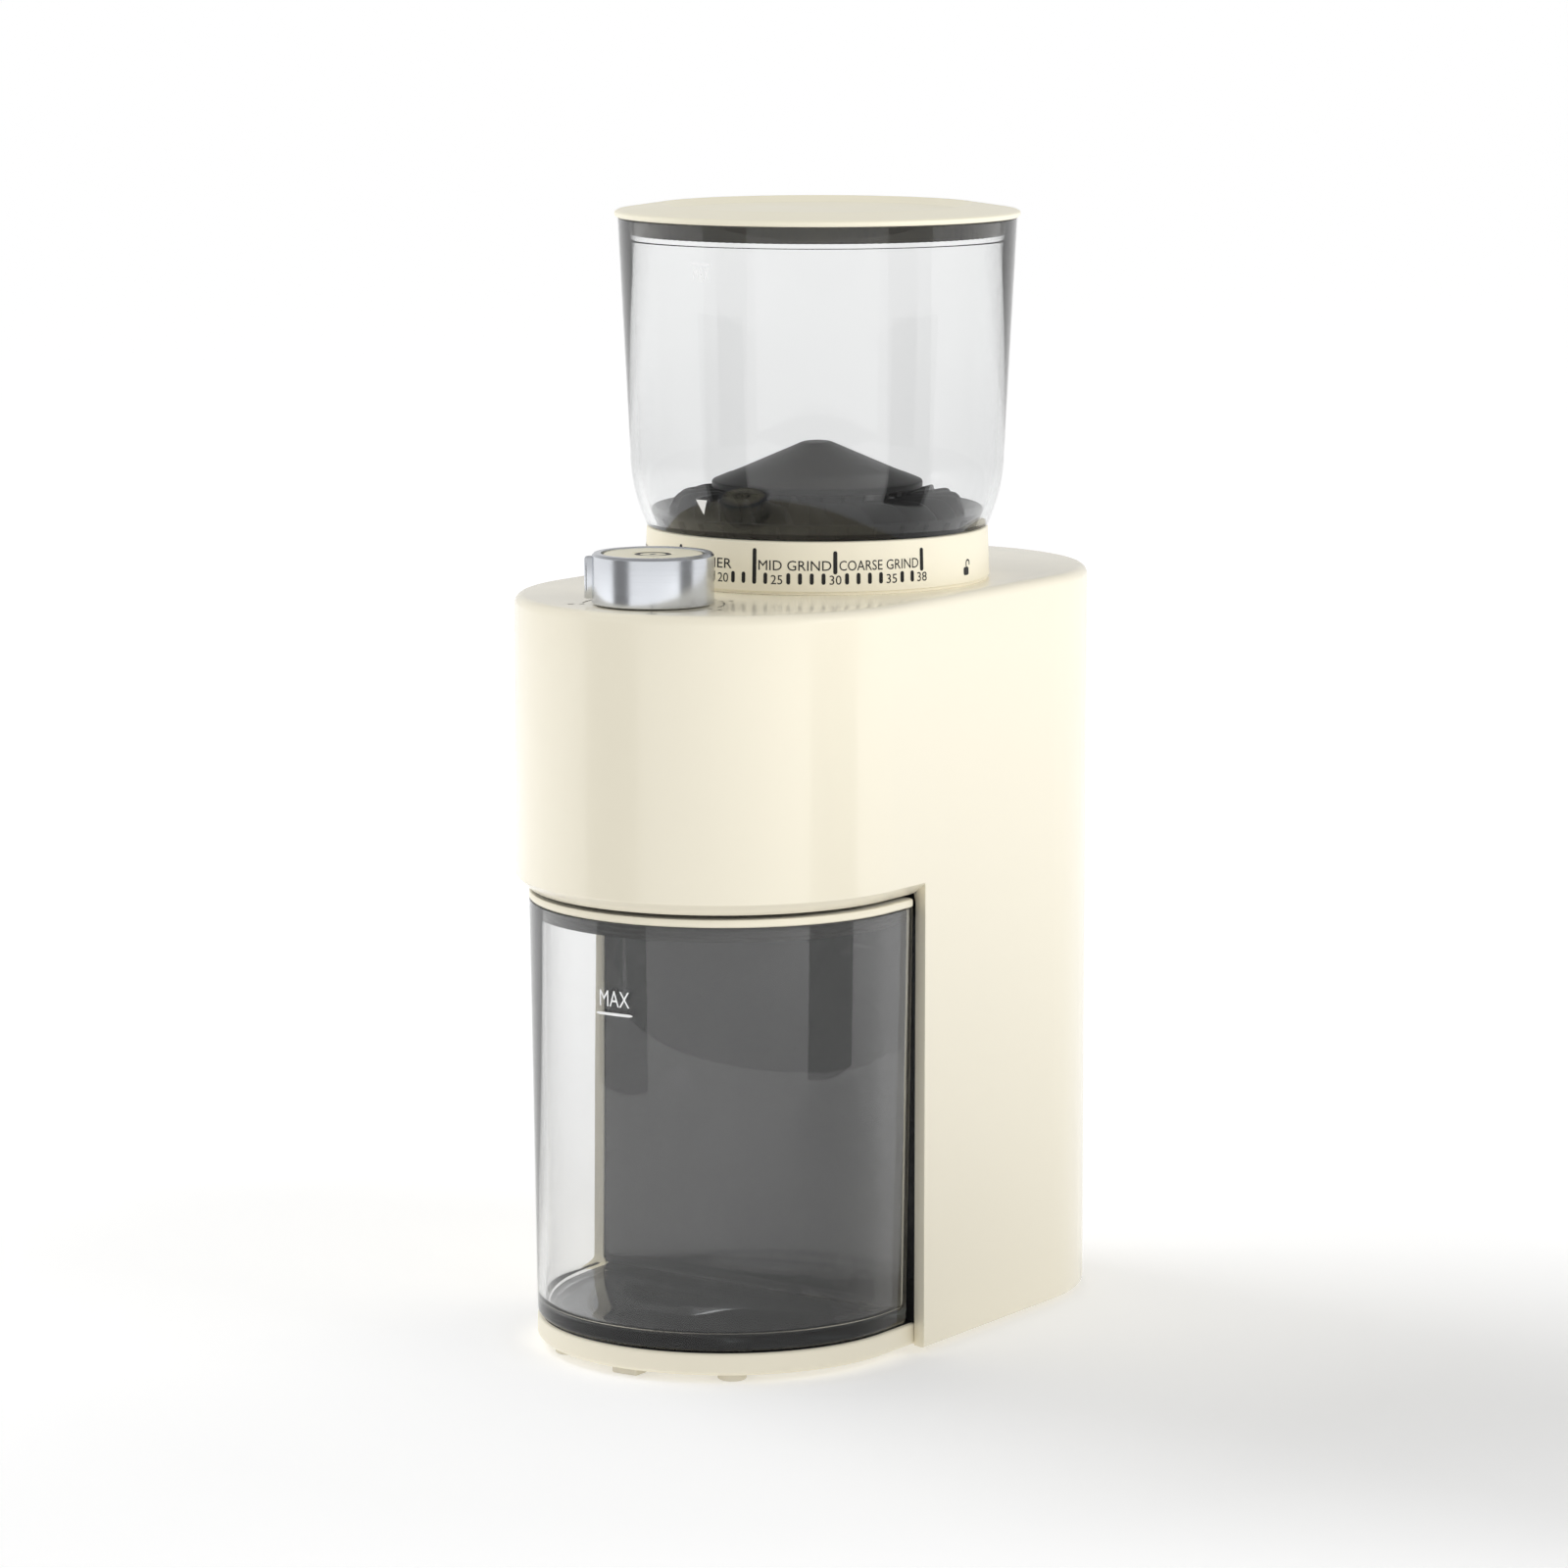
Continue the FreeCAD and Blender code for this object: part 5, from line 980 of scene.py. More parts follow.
@dataclass
class Container:
    """The clear grounds container with its lid, gasket and MAX line."""

    shop: Workshop
    centre: float = -45.3
    wall: float = 2.2
    floor: float = 4.0
    taper: float = 1.9
    mouth: tuple[float, float, float, float] = (-16.0, 16.0, -74.1, -46.1)
    columns: int = 240

    def plan(self, radius: float, back: float, corner: float) -> np.ndarray:
        """The plan at one level: a half circle in front and rounded corners behind.

        Args:
            radius: of the half circle.
            back: where the back wall stands.
            corner: radius of the corners behind.

        Returns:
            Evenly spaced points, one row each.
        """
        angle = np.linspace(math.pi, 2 * math.pi, 120)
        front = np.stack([radius * np.cos(angle), self.centre + radius * np.sin(angle)], axis=1)
        rear = rounded([(radius, self.centre + 0.5, 0.0), (radius, back, corner), (-radius, back, corner),
                        (-radius, self.centre + 0.5, 0.0)], closed=False, steps=9)
        return resampled(np.vstack([front, rear]), self.columns)

    def row(self, inset: float, height: float, share: float) -> np.ndarray:
        """The plan at a level, drawn in by an inset; share is how far up the taper it stands."""
        radius = self.top_radius - self.taper * (1 - share) - inset
        plan = self.plan(radius, self.back - inset, max(3.2 - inset, 0.8))
        return np.column_stack([plan, np.full(len(plan), height)])

    def point(self, height: float) -> np.ndarray:
        """A row drawn in to a single point on the floor."""
        return np.tile([0.0, -66.0, height], (self.columns, 1))

    def build(self) -> None:
        """Builds the container, its lid and gasket, and prints the line."""
        low, high = self.shop.corners("grounds_container")
        self.top_radius, self.back = high[0], high[1]
        bottom, top = low[2], high[2]
        outer = rounded([(13.0, bottom + 0.5, 0.0), (7.0, bottom + 0.5, 0.4), (6.4, bottom, 0.5), (0.0, bottom, 2.0),
                         (0.0, top, 0.5), (self.wall, top, 0.5), (self.wall, bottom + self.floor, 3.2),
                         (13.0, bottom + self.floor, 0.0)], closed=False, steps=8)
        rows = [self.row(inset, z, (z - bottom) / (top - bottom)) for inset, z in outer]
        dimple = [self.point(bottom + self.floor) * np.array([0, 0,
                                                              1]) + ring for ring in self.dimple(bottom + self.floor)]
        under = self.point(bottom + 0.5)
        jar = Sheets("grounds_jar").grid(np.stack([under, *rows, *dimple]), wrap_columns=True)
        self.shop.dress(jar.made(sharp=50.0), "clear_container", Body.CONTAINER, ("grounds_container",))
        self.build_lid()
        wall = Wall(0.0, self.centre, bottom, self.top_radius - self.taper, top, self.top_radius)
        ink = Print("container_print")
        ink.round(slab(13.2, 0.85, 0.3, 14), -90.0, 111.3, wall)
        ink.round(lettering("MAX", 4.9, 10.8), -90.0, 113.6, wall)
        self.shop.dress(ink.made(), "white_ink", Body.CONTAINER)

    def dimple(self, floor: float) -> list[np.ndarray]:
        """Rings of the small moulding point in the floor's middle, turned with the plan's own angles.

        Args:
            floor: the height of the floor.

        Returns:
            The rings, each with a point for every point of the plan.
        """
        plan = self.row(13.0, floor, 0.0)
        turn = np.arctan2(plan[:, 1] + 66.0, plan[:, 0])
        rings = ((3.0, 0.0), (2.4, 0.45), (1.2, 0.6), (0.0, 0.6))
        return [around((0.0, -66.0), reach, turn, rise) for reach, rise in rings]

    def build_lid(self) -> None:
        """Builds the container's lid, a loop of plans from the mouth round the rim and skirt, and its gasket."""
        low, high = self.shop.corners("container_lid")
        base, top = high[2] - 2.5, high[2]
        plan = self.row(0.0, top, 1.0)
        left, right, front, back = self.mouth
        turn = np.arctan2(plan[:, 1] - (front + back) / 2, plan[:, 0])
        half = np.array([(right - left) / 2, (back - front) / 2])
        power = 8.0
        reach = (np.abs(np.cos(turn) / half[0]) ** power + np.abs(np.sin(turn) / half[1]) ** power) ** (-1 / power)
        rim = np.stack([reach * np.cos(turn), (front + back) / 2 + reach * np.sin(turn)], axis=1)
        mouth = [np.column_stack([rim * 1.0, np.full(len(rim), z)]) for z in (top - 0.4, base)]
        lip = np.column_stack([rim * 1.02 - np.array([0.0, 0.02 * (front + back) / 2]), np.full(len(rim), top)])
        rows = [lip, self.row(0.7, top, 1.0), self.row(0.2, top - 0.2, 1.0), self.row(0.0, top - 0.7, 1.0),
                self.row(0.0, base + 0.4, 1.0), self.row(0.4, base, 1.0), self.row(4.4, base, 1.0),
                self.row(4.4, low[2], 1.0), self.row(6.2, low[2], 1.0), self.row(6.2, base, 1.0), mouth[1], mouth[0]]
        cap = Sheets("container_cap").grid(np.stack(rows), wrap_rows=True, wrap_columns=True)
        self.shop.dress(cap.made(sharp=35.0), "cream_container_lid", Body.CONTAINER, ("container_lid",))
        heights = np.linspace(low[2] + 0.1, base - 0.1, 13)
        bulge = 0.22 * (1 - np.cos(np.linspace(0.0, 6 * math.pi, 13)))
        outer = [self.row(2.35 + b, z, 1.0) for b, z in zip(bulge, heights)]
        inner = [self.row(4.15, z, 1.0) for z in heights[::-1]]
        seal = Sheets("container_seal").grid(np.stack(outer + inner), wrap_rows=True, wrap_columns=True)
        self.shop.dress(seal.made(), "container_gasket", Body.CONTAINER, ("container_gasket",))


@dataclass
class Dial:
    """The fixed collar with the grind scale: 3.83 degrees to a division, figures rising counter-clockwise."""

    shop: Workshop
    division: float = 3.83
    thirty: float = -50.95
    first: int = 1
    last: int = 38
    dividers: tuple[int, ...] = (15, 30, 38)
    full: tuple[int, ...] = (1, 23)
    words: tuple[tuple[str, int, int], ...] = (("EXTRA FINE", 1, 15), ("FINER", 15, 23), ("MID GRIND", 23, 30),
                                               ("COARSE GRIND", 30, 38))

    def build(self) -> None:
        """Builds the collar and its printed scale."""
        low, high = self.shop.corners("dial_collar")
        base, top, radius = low[2], high[2], high[0]
        profile = rounded([(radius - 2.4, base, 0.1), (radius - 0.5, base, 0.1), (radius - 0.5, base + 0.9, 0.1),
                           (radius, base + 0.9, 0.25), (radius - 0.6, top, 0.8), (radius - 3.0, top, 0.4)])
        collar = Sheets("grind_collar").grid(spun(profile, GRIND_AXIS, 256), wrap_rows=True, wrap_columns=True)
        self.shop.dress(collar.made(), "cream_dial", Body.HOUSING, ("dial_collar",))
        wall = Wall(*GRIND_AXIS, base + 0.9, radius, top, radius - 0.6)
        ink = Print("grind_scale")
        for value in range(self.first, self.last + 1):
            angle = self.thirty + self.division * (value - 30)
            if value in self.full:
                ink.round(slab(1.25, 10.8, 0.5), angle, base + 8.6, wall)
            elif value % 5 == 0 or value == self.last:
                ink.round(lettering(str(value), 2.75), angle, base + 3.3, wall)
            else:
                ink.round(slab(1.2, 3.4, 0.5), angle, base + 5.0, wall)
            if value in self.dividers:
                ink.round(slab(1.25, 7.0, 0.5), angle, base + 9.9, wall)
        for text, start, end in self.words:
            span = math.radians(self.division * (end - start)) * radius
            length = min(span - 2.6, 2.55 * len(text))
            angle = self.thirty + self.division * ((start + end) / 2 - 30)
            ink.round(lettering(text, 3.0, width=length), angle, base + 7.5, wall)
        self.padlock(ink, 1.85, base + 3.6, wall)
        self.shop.dress(ink.made(), "scale_ink", Body.HOUSING)

    @staticmethod
    def padlock(ink: Print, angle: float, height: float, wall: Wall) -> None:
        """Prints the open padlock that marks where the hopper comes off.

        Args:
            ink: the print it joins.
            angle: its place round the collar, in degrees.
            height: its foot.
            wall: the collar's wall.
        """
        ink.round(slab(2.9, 2.5, 0.4), angle, height + 1.0, wall)
        ink.round(arc_mark(0.95, 0.5, 0.0, 180.0), angle + 1.1, height + 3.4, wall)
        ink.round(slab(0.5, 1.3), angle + 0.1, height + 2.8, wall)
        ink.round(slab(0.5, 0.7), angle + 2.1, height + 3.1, wall)


@dataclass
class Hopper:
    """The clear bean hopper with the dark funnel, its swept fins, the bean guard and the printed marks."""

    shop: Workshop
    waist_radius: float = 57.9
    waist: float = 22.4
    curve: float = 52.0
    wall: float = 2.6
    ledge: float = 0.7
    fins: int = 24
    lugs: int = 36

    def foot(self, height: np.ndarray, inset: float) -> np.ndarray:
        """The radius of the curved foot: waist - curve + sqrt((curve - inset)^2 - (height below the waist)^2)."""
        drop = self.bottom + self.waist - height
        return self.waist_radius - self.curve + np.sqrt((self.curve - inset) ** 2 - drop ** 2)

    def build(self) -> None:
        """Builds the hopper, the funnel with its fins, the guard and the print."""
        low, high = self.shop.corners("hopper")
        self.bottom, self.top, self.top_radius = low[2], high[2], high[0]
        waist, shelf = self.bottom + self.waist, self.top - 6.6
        rise = np.linspace(self.bottom, waist, 17)
        outer_foot = np.stack([self.foot(rise, 0.0), rise], axis=1)
        inner_foot = np.stack([self.foot(rise, self.wall), rise], axis=1)[::-1]
        slope = (self.top_radius - self.waist_radius) / (self.top - waist)
        at_shelf = self.waist_radius - self.wall + slope * (shelf - waist)
        rim = rounded([(self.waist_radius, waist, 0.0), (self.top_radius, self.top, 0.5),
                       (self.top_radius - self.wall + self.ledge, self.top, 0.5), (at_shelf + self.ledge, shelf, 0.25),
                       (at_shelf, shelf, 0.3), (self.waist_radius - self.wall, waist, 0.0)], closed=False)
        profile = np.vstack([outer_foot, rim, inner_foot])
        clear = Sheets("bean_jar").grid(spun(profile, GRIND_AXIS, 256), wrap_rows=True, wrap_columns=True)
        self.shop.dress(clear.made(sharp=50.0), "clear_hopper", Body.HOPPER, ("hopper",))
        self.build_funnel()
        self.build_guard()
        wall = Wall(*GRIND_AXIS, waist, self.waist_radius, self.top, self.top_radius)
        ink = Print("hopper_print")
        ink.round(slab(7.6, 0.7, 0.2, 10), -92.0, 332.3, wall)
        ink.round(lettering("MAX", 3.9, width=6.0), -92.0, 327.3, wall)
        self.shop.dress(ink.made(), "white_ink", Body.HOPPER)
        self.pointer()

    def pointer(self) -> None:
        """Prints the white triangle that points down at the grind scale."""
        share = np.linspace(0.0, 1.0, 7)
        across = np.linspace(-1.0, 1.0, 7)
        half, height = 2.15 * share[:, None] * across[None, :], self.bottom + 6.9 + 4.6 * share
        radius = self.foot(height, 0.0) + PROUD
        turn = math.radians(-95.0) + half / radius[:, None]
        points = around(GRIND_AXIS, radius[:, None], turn, height[:, None])
        self.shop.dress(Sheets("hopper_pointer").grid(points[:, ::-1]).made(), "white_ink", Body.HOPPER)

    def build_funnel(self) -> None:
        """Builds the funnel: a turned section whose skirt has lugs and whose neck has three keyways, then its fins.

        The skirt's radius drops by 1.4 between lugs, and the neck's by 2.5 within 4.4 degrees of each keyway.
        """
        low, high = self.shop.corners("hopper_base")
        rim, floor = self.bottom + 5.0, self.bottom + 2.0
        neck, throat, gap = 44.2, 24.0, self.wall + 0.2
        rise = np.array([0.0, 0.5, 0.9, 1.1, 3.7, 3.9, 4.1, 4.4, 4.7, 5.0]) + self.bottom
        skirt = np.stack([self.foot(rise, gap), rise], axis=1)
        skirt[-1, 0] -= 0.3
        profile = np.vstack([[[throat, low[2]], [throat + 2, low[2]], [throat + 2, floor - 3.2],
                              [neck - 3.4, floor - 3.2], [neck - 3.4, 235.6], [neck, 235.6],
                              [neck, self.bottom - 1.4], [neck, self.bottom]], skirt,
                              [[self.foot(rim, gap) - 1.8, rim], [throat + 20, floor + 0.8],
                               [throat + 2, floor - 1.2], [throat, floor - 2.2]]])
        points = spun(profile, (0.0, 0.0), 720)
        angle = np.linspace(0.0, 360.0, 720, endpoint=False)
        lug = (np.mod(angle, 360.0 / self.lugs) < 360.0 / self.lugs * 0.34)[:, None]
        key = (np.abs(np.mod(angle + 60.0, 120.0) - 60.0) < 4.4)[:, None]
        row = np.arange(len(profile))[None, :]
        cut = 1.4 * (lug & (row >= 10) & (row <= 13)) + 2.5 * (key & (row >= 5) & (row <= 6))
        radius = np.linalg.norm(points[..., :2], axis=-1)
        points[..., :2] *= ((radius - cut) / radius)[..., None]
        points[..., :2] += np.array(GRIND_AXIS)
        funnel = Sheets("hopper_funnel").grid(points, wrap_rows=True, wrap_columns=True)
        self.add_fins(funnel, floor, high[2])
        self.shop.dress(funnel.made(sharp=30.0), "black_funnel", Body.HOPPER, ("hopper_base",))

    def add_fins(self, funnel: Sheets, floor: float, top: float) -> None:
        """Adds the fins that stir the beans in: each is a thin wall that leans round as it goes out.

        Along a fin, s runs 0 to 1, its radius is 26.5 + 19.4 s, and its angle grows by 24 s^1.3 degrees.
        The top falls off towards both ends as 1 - (2 s - 1)^6.

        Args:
            funnel: the sheets the fins join.
            floor: the funnel's floor.
            top: the top of the fins.
        """
        s = np.linspace(0.0, 1.0, 15)
        radius = 26.5 + 19.4 * s
        foot = floor - 1.0 + 1.4 * s
        crest = foot + (top - foot) * (0.35 + 0.65 * (1 - np.abs(2 * s - 1) ** 6))
        side = np.array([0.6, 0.55, 0.3, -0.3, -0.55, -0.6])
        level = np.array([0.0, 0.92, 1.0, 1.0, 0.92, 0.0])
        for fin in range(self.fins):
            turn = 2 * math.pi * fin / self.fins + np.radians(24.0 * s ** 1.3)
            height = foot[:, None] + (crest - foot)[:, None] * level[None, :]
            wall = around(GRIND_AXIS, radius[:, None], turn[:, None] + side[None, :] / radius[:, None], height)
            ends = [np.repeat(wall[i].mean(axis=0, keepdims=True) * [1, 1, 0] + [0, 0, foot[i]], 6,
                              axis=0) for i in (0, -1)]
            funnel.grid(np.concatenate([ends[0][None], wall, ends[1][None]]), wrap_columns=True)

    def build_guard(self) -> None:
        """Builds the bean guard: a thin cone with a rounded tip and a turned-down rim, on four legs."""
        low, high = self.shop.corners("bean_guard")
        edge, apex, radius = high[2] - 12.3, high[2], high[0]
        profile = rounded([(0.0, apex - 2.2, 0.0), (4.0, apex - 2.5, 1.0), (radius - 2.0, edge - 0.6, 0.5),
                           (radius - 1.2, edge - 1.6, 0.2), (radius, edge - 1.6, 0.3), (radius, edge + 0.3, 0.7),
                           (radius - 1.6, edge + 1.0, 0.8), (4.4, apex - 0.5, 5.0), (0.0, apex, 0.0)], closed=False,
                           steps=8)
        guard = Sheets("guard_cone").grid(spun(profile, GRIND_AXIS, 128), wrap_columns=False, wrap_rows=True)
        legs = np.array([[GRIND_AXIS[0] + (radius - 4.3) * c, GRIND_AXIS[1] + (radius - 4.3) * s,
                          (low[2] + edge) / 2 + 0.2] for c, s in ((1, 0), (0, 1), (-1, 0), (0, -1))])
        size = edge - low[2] + 0.6
        guard.boxes(legs[::2], (3.2, 2.4, size)).boxes(legs[1::2], (2.4, 3.2, size))
        self.shop.dress(guard.made(sharp=30.0), "black_guard", Body.HOPPER, ("bean_guard",))


@dataclass
class Lid:
    """The hopper's lid with its ribbed seal."""

    shop: Workshop
    crest_inset: float = 13.9
    ribs: int = 150

    def build(self) -> None:
        """Builds the lid as a turned section and the seal as a turned section with ribs."""
        low, high = self.shop.corners("lid")
        radius, crest = high[0], high[2]
        seat = crest - 3.9
        ring, skirt = radius - self.crest_inset, radius - 4.3 - 0.6
        profile = rounded([(0.0, seat - 0.4, 0.0), (skirt - 1.8, seat - 0.4, 0.3), (skirt - 1.8, low[2], 0.3),
                           (skirt, low[2], 0.3), (skirt, seat + 0.1, 0.1), (radius - 0.4, seat + 0.1, 0.2),
                           (radius, seat + 0.5, 0.3), (radius, seat + 1.6, 0.5), (radius - 0.9, seat + 2.1, 0.9),
                           (ring + 0.9, crest, 1.4), (ring - 0.7, crest, 0.8), (ring - 4.5, crest - 1.9, 3.0),
                           (0.0, crest - 1.9, 0.0)], closed=False, steps=8)
        lid = Sheets("hopper_cap").grid(spun(profile, GRIND_AXIS, 256), wrap_rows=True)
        self.shop.dress(lid.made(sharp=40.0), "cream_lid", Body.LID, ("lid",))
        low, high = self.shop.corners("lid_gasket")
        outer = high[0]
        profile = rounded([(outer - 2.6, low[2], 0.2), (outer, low[2], 0.3), (outer, (low[2] + high[2]) / 2, 0.0),
                           (outer, high[2], 0.3), (outer - 2.6, high[2], 0.2)], steps=4)
        points = spun(profile, (0.0, 0.0), self.ribs * 6)
        angle = np.linspace(0.0, 2 * math.pi, self.ribs * 6, endpoint=False)
        span = np.linalg.norm(points[..., :2], axis=-1)
        cut = 0.42 * (0.5 - 0.5 * np.cos(angle * self.ribs))[:, None] * (span > outer - 0.9)
        points[..., :2] = points[..., :2] * ((span - cut) / span)[..., None] + np.array(GRIND_AXIS)
        seal = Sheets("ribbed_seal").grid(points, wrap_rows=True, wrap_columns=True)
        self.shop.dress(seal.made(sharp=60.0), "lid_gasket", Body.LID, ("lid_gasket",))


@dataclass
class Controls:
    """The selector knob with its pointer, and the start button in it."""

    shop: Workshop
    pointer: float = START_TURN

    def build(self) -> None:
        """Builds the knob, the button and the button's ring mark."""
        low, high = self.shop.corners("selector_knob")
        base, top, radius, well = low[2], high[2], 18.3, 15.5
        skirt = base - 0.9
        profile = rounded([(3.15, base + 1.0, 0.2), (6.0, base + 1.0, 0.3), (6.0, base + 5.5, 0.3),
                           (radius - 1.8, base + 5.5, 0.5), (radius - 1.8, skirt, 0.2), (radius, skirt, 0.35),
                           (radius, top - 0.7, 0.15), (radius - 0.7, top, 0.2), (well, top, 0.25),
                           (well, base + 7.5, 0.4), (3.15, base + 7.5, 0.2)])
        knob = Sheets("knob_body").grid(spun(profile, KNOB_AXIS, 192), wrap_rows=True, wrap_columns=True)
        self.add_pointer(knob, radius, base + 0.4, top - 1.0)
        self.shop.dress(knob.made(sharp=40.0), "knob_metal", Body.KNOB, ("selector_knob",))
        low, high = self.shop.corners("start_button")
        top = high[2]
        profile = rounded([(0.0, low[2], 0.0), (1.7, low[2], 0.3), (1.7, base + 10.4, 0.3), (13.4, base + 10.4, 0.3),
                           (13.4, base + 9.6, 0.2), (15.0, base + 9.6, 0.2), (15.0, top, 0.6), (6.4, top, 0.2),
                           (6.0, top - 0.25, 0.2), (0.0, top - 0.25, 0.0)], closed=False)
        button = Sheets("button_cap").grid(spun(profile, KNOB_AXIS, 160), wrap_rows=True)
        self.shop.dress(button.made(sharp=40.0), "button_cream", Body.BUTTON, ("start_button",))
        mark = Print("button_mark")
        mark.flat(arc_mark(4.7, 1.6, 0.0, 360.0, 64), *KNOB_AXIS, top - 0.25)
        mark.flat(slab(1.2, 3.0, 0.3), *KNOB_AXIS, top - 0.25)
        self.shop.dress(mark.made(), "scale_ink", Body.BUTTON)

    def add_pointer(self, knob: Sheets, radius: float, low: float, high: float) -> None:
        """Adds the pointer: a rounded upright rib from inside the rim to 2.2 beyond it.

        Args:
            knob: the sheets it joins.
            radius: the knob's radius.
            low: the rib's foot.
            high: the rib's top.
        """
        plan = rounded([(radius - 1.0, -1.5, 0.1), (radius + 2.2, -1.5, 1.1), (radius + 2.2, 1.5, 1.1),
                        (radius - 1.0, 1.5, 0.1)], steps=7)
        turn = math.radians(self.pointer)
        c, s = math.cos(turn), math.sin(turn)
        middle = plan.mean(axis=0)
        rows = []
        levels = ((low, 0.0), (low, 0.9), (low + 0.3, 1.0), (high - 0.8, 1.0), (high - 0.2, 0.85), (high, 0.5),
                  (high, 0.0))
        for height, share in levels:
            flat = middle + (plan - middle) * share
            rows.append(np.stack([KNOB_AXIS[0] + c * flat[:, 0] - s * flat[:, 1],
                                  KNOB_AXIS[1] + s * flat[:, 0] + c * flat[:, 1], np.full(len(flat), height)],
                                  axis=1))
        knob.grid(np.stack(rows), wrap_columns=True)


@dataclass
class Burrs:
    """The cone burr with its spiral cutting edges."""

    shop: Workshop
    coarse: int = 8
    fine: int = 32

    def build(self) -> None:
        """Builds the cone: its radius falls from foot to top, and saw teeth run up it in a slow spiral.

        At angle a and share h of the height, the depth is the larger of coarse teeth 2.2 (1 - f(8 a + 5 h)) h and fine
        teeth 0.9 (1 - f(32 a + 9 h)), with f the fraction of a turn.
        """
        low, high = self.shop.corners("cone_burr")
        share = np.linspace(0.0, 1.0, 33)
        angle = np.linspace(0.0, 2 * math.pi, 512, endpoint=False)[:, None]
        body = high[0] - 5.6 * share ** 1.2
        broad = 2.2 * np.mod(self.coarse * angle / (2 * math.pi) + 0.9 * share, 1.0) * share
        small = 0.9 * np.mod(self.fine * angle / (2 * math.pi) + 1.6 * share, 1.0) * (1 - 0.5 * share)
        radius = body[None, :] - broad - small - 0.05
        height = low[2] + (high[2] - low[2]) * share[None, :]
        rows = around(GRIND_AXIS, radius, angle, height)
        bore = around(GRIND_AXIS, 4.1, angle, np.array([[high[2], low[2]]]))
        cone = Sheets("cone_cutter").grid(np.concatenate([rows, bore], axis=1), wrap_rows=True, wrap_columns=True)
        self.shop.dress(cone.made(sharp=25.0), "burr_steel", Body.BURR, ("cone_burr",))


@dataclass
class Gland:
    """The rubber cord gland at the foot of the back."""

    shop: Workshop

    def build(self) -> None:
        """Builds the gland as a ribbed sleeve turned round a level axis, with the dark mouth of its bore."""
        low, high = self.shop.corners("cord_gland")
        centre = (low + high) / 2
        front, back = low[1], high[1]
        profile = rounded([(3.4, front, 0.2), (8.0, front, 0.3), (8.0, front + 2.4, 0.3), (5.9, front + 2.4, 0.1),
                           (5.9, back - 0.5, 0.1), (5.6, back, 0.3), (4.6, back, 0.3), (4.4, back - 0.5, 0.1),
                           (3.4, back - 0.5, 0.2)])
        turned = spun(profile, (0.0, 0.0), 96)
        points = np.stack([turned[..., 0] + centre[0], turned[..., 2], -turned[..., 1] + centre[2]], axis=-1)
        sleeve = Sheets("gland_sleeve").grid(points, wrap_rows=True, wrap_columns=True)
        self.shop.dress(sleeve.made(), "gland_rubber", Body.HOUSING, ("cord_gland",))


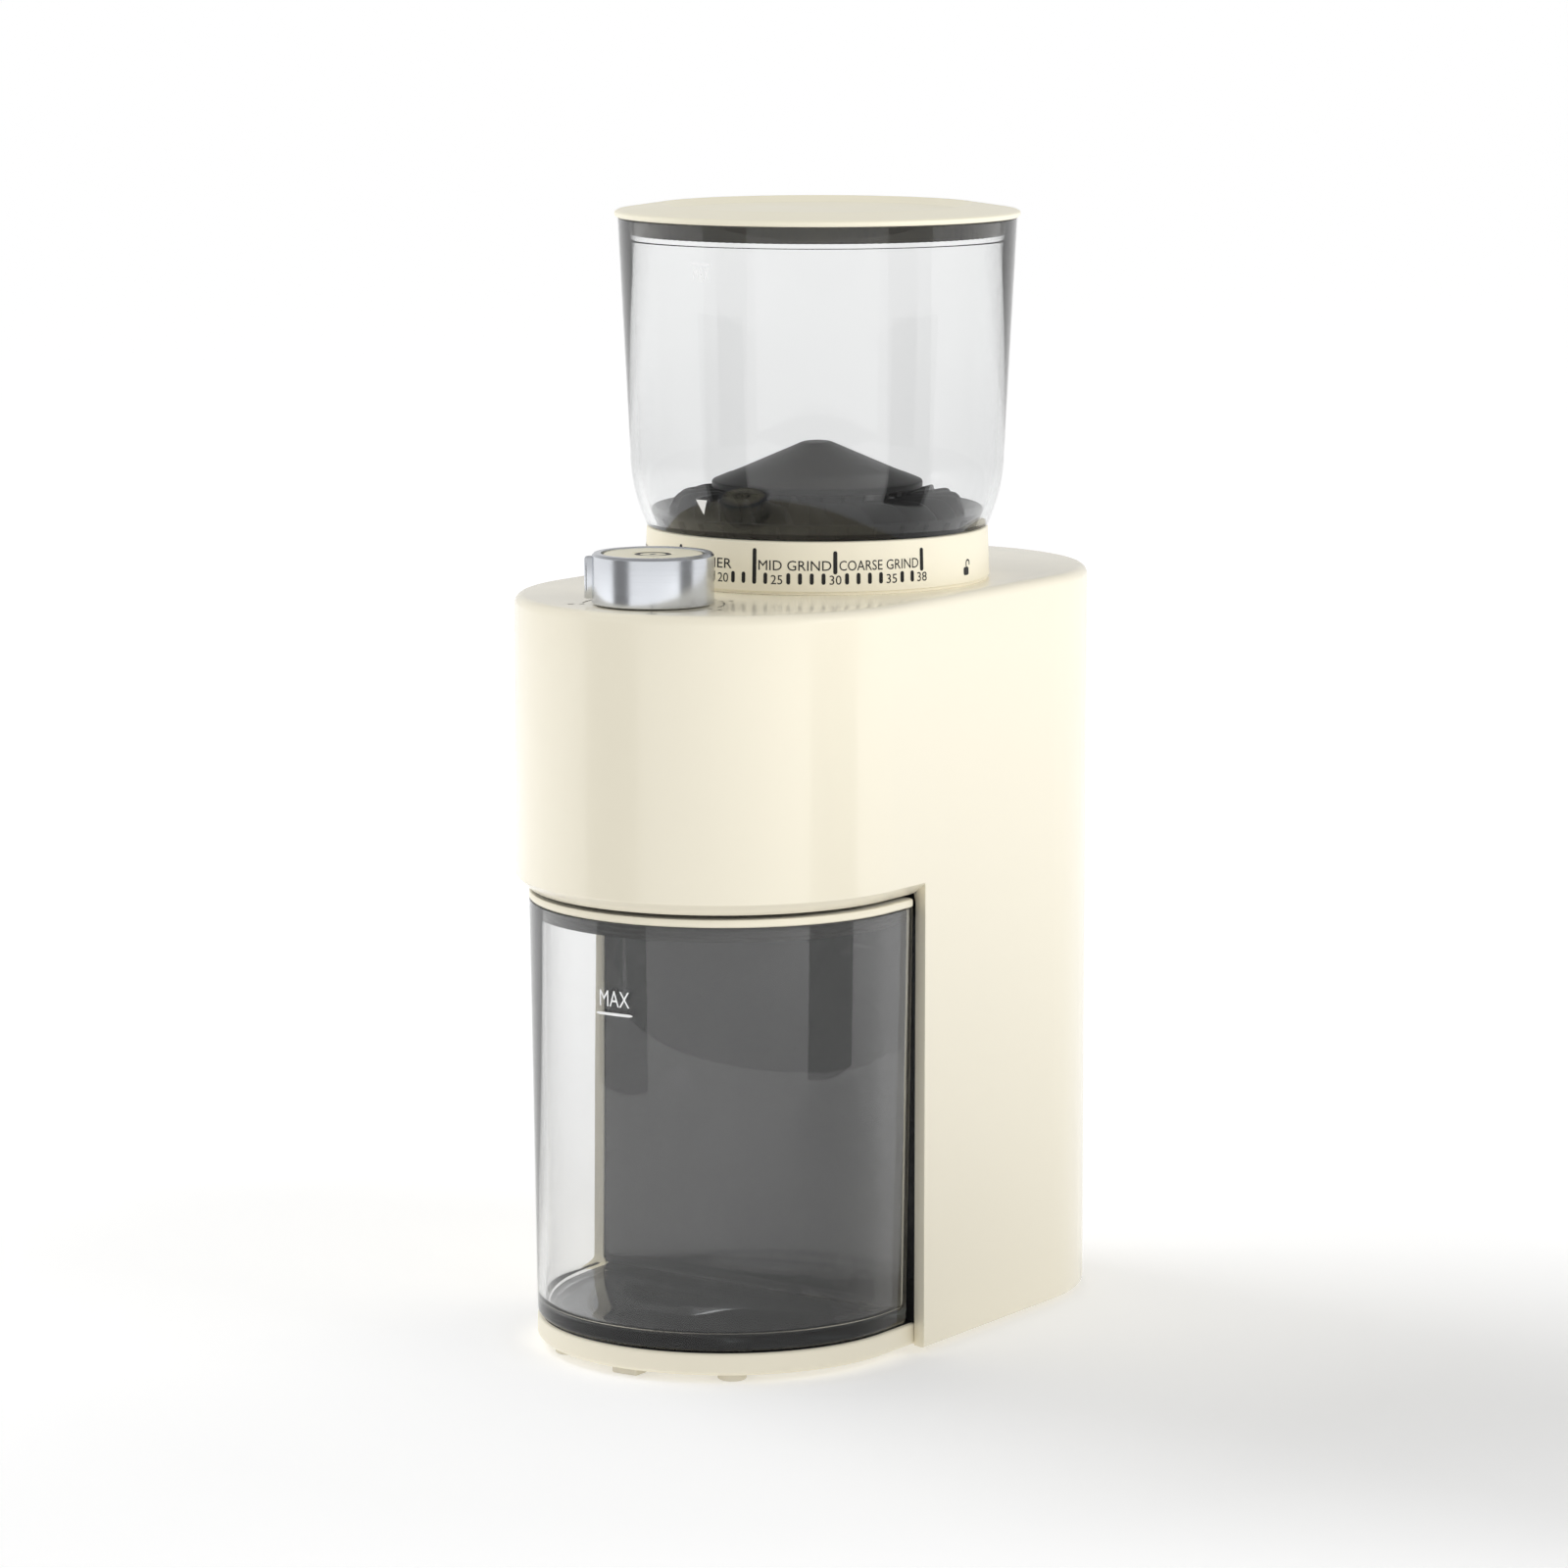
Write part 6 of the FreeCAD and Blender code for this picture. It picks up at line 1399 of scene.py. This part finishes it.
# ---------------------------------------------------------------------------------------------
# Studio
# ---------------------------------------------------------------------------------------------
@dataclass
class Studio:
    """A pale floor, a soft room with two dark cards, the lamps and the camera."""

    eye: tuple[float, float, float] = (1022.8, -1560.8, 447.6)
    back: tuple[float, float, float] = (0.54516, -0.82510, 0.14829)
    right: tuple[float, float, float] = (0.83433, 0.55126, 0.0)
    lens: float = 139.02
    sensor: float = 36.0

    def build(self) -> None:
        """Builds the floor, the room, the lamps and the camera."""
        scene = bpy.context.scene
        scene.view_settings.view_transform = "Standard"
        scene.view_settings.look = "None"
        self.floor()
        self.room()
        self.flags()
        self.lamp("soft_side", (1500.0, 100.0, 700.0), 900.0, 13.0)
        self.lamp("soft_left", (-1300.0, -900.0, 700.0), 900.0, 4.0)
        self.lamp("key_behind", (-1000.0, -60.0, 1200.0), 800.0, 7.0)
        self.camera()

    def floor(self) -> None:
        """Makes the floor: pale, and self-lit from a little way off so that it stays white."""
        material, tree, shader = blank("pale_floor")
        away = tree.add("VectorMath", {0: tree.add("TexCoord").outputs["Object"]}, operation="LENGTH")
        glow = tree.add("MapRange", {"Value": away.outputs["Value"], "From Min": 0.25, "From Max": 1.0, "To Min": 0.32,
                                     "To Max": 0.6})
        tree.feed(shader, {"Base Color": (0.82, 0.82, 0.82, 1.0), "Roughness": 0.9, "Specular IOR Level": 0.1,
                           "Emission Color": (1.0, 1.0, 1.0, 1.0), "Emission Strength": glow.outputs["Result"]})
        side = np.linspace(-60000.0, 60000.0, 13)
        x, y = np.meshgrid(side, side)
        ground = Sheets("floor").grid(np.stack([x, y, np.zeros_like(x)], axis=-1)).made()
        ground.data.materials.append(material)

    def room(self) -> None:
        """Makes the room: bright round the horizon, dimmer overhead, white to the camera."""
        world = bpy.data.worlds.new("soft_room")
        bpy.context.scene.world = world
        world.use_nodes = True
        tree, nodes = Tree(world.node_tree), world.node_tree.nodes
        split = tree.add("SeparateXYZ", {0: tree.add("TexCoord").outputs["Generated"]})
        level = tree.add("MapRange", {"Value": split.outputs["Z"], "From Min": -1.0})
        height = tree.add("ValToRGB", {"Fac": level.outputs["Result"]})
        elements = height.color_ramp.elements
        for spot in (0.5, 0.62, 0.85):
            elements.new(spot)
        for element, (spot, bright) in zip(elements, ((0.0, 0.7), (0.5, 1.0), (0.62, 1.0), (0.85, 0.55), (1.0, 0.5))):
            element.position, element.color = spot, (bright, bright, bright, 1.0)
        back = tree.feed(nodes["Background"], {"Color": height.outputs["Color"], "Strength": 0.74})
        white = tree.add("Background", {"Color": (1.0, 1.0, 1.0, 1.0), "Strength": 1.2})
        mix = tree.add("MixShader", {"Fac": tree.add("LightPath").outputs["Is Camera Ray"], 1: back.outputs[0],
                                     2: white.outputs[0]})
        tree.feed(nodes["World Output"], {"Surface": mix.outputs[0]})

    def flags(self) -> None:
        """Stands a dark card on each side, outside the picture, for the glossy surfaces to mirror."""
        material, tree, shader = blank("dark_card")
        tree.feed(shader, {"Base Color": (0.2, 0.2, 0.2, 1.0), "Roughness": 0.9})
        ahead = math.atan2(self.back[1], self.back[0])
        for name, turn in (("card_right", 57.0), ("card_left", -57.0)):
            angle = ahead + math.radians(turn)
            toward = np.array([math.cos(angle), math.sin(angle), 0.0])
            along = np.array([-math.sin(angle), math.cos(angle), 0.0])
            across = np.linspace(-130.0, 130.0, 5)[None, :, None] * along
            level = np.linspace(2.0, 290.0, 5)[:, None, None] * np.array([0.0, 0.0, 1.0])
            card = Sheets(name).grid(toward * 500.0 + across + level).made()
            card.data.materials.append(material)
            card.visible_camera = False

    @staticmethod
    def lamp(name: str, spot: tuple[float, float, float], size: float, power: float) -> None:
        """Adds a square soft lamp aimed at the object.

        Args:
            name: the lamp's name.
            spot: its place in millimetres.
            size: its side in millimetres.
            power: its power in watts.
        """
        data = bpy.data.lights.new(name, "AREA")
        data.shape, data.size, data.energy = "SQUARE", size * MM, power
        lamp = bpy.data.objects.new(name, data)
        lamp.location = Vector(spot) * MM
        lamp.visible_glossy = lamp.visible_transmission = False
        lamp.rotation_euler = (Vector((0.0, 0.0, 0.15)) - lamp.location).to_track_quat("-Z", "Y").to_euler()
        bpy.context.scene.collection.objects.link(lamp)

    def camera(self) -> None:
        """Adds the camera, its axes given by its right and back directions."""
        data = bpy.data.cameras.new("camera")
        data.lens, data.sensor_width, data.clip_end = self.lens, self.sensor, 200.0
        data.clip_start = 0.05
        camera = bpy.data.objects.new("camera", data)
        back, right = Vector(self.back).normalized(), Vector(self.right).normalized()
        up = back.cross(right)
        turn = Matrix((right, up, back)).transposed().to_4x4()
        camera.matrix_world = Matrix.Translation(Vector(self.eye) * MM) @ turn
        bpy.context.scene.collection.objects.link(camera)
        bpy.context.scene.camera = camera


def main() -> None:
    """Builds the grinder's sub-assemblies in order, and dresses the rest."""
    logging.basicConfig(level=logging.INFO, format="%(name)s: %(message)s")
    for leftover in list(bpy.data.objects):
        bpy.data.objects.remove(leftover)
    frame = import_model()
    shop = Workshop(frame)
    for kind in (Shell, Base, Container, Dial, Hopper, Lid, Controls, Burrs, Gland):
        kind(shop).build()
        LOG.info("finished %s", kind.__name__)
    shop.keep()
    Studio().build()
    bpy.context.view_layer.update()


if __name__ == "__main__":
    main()
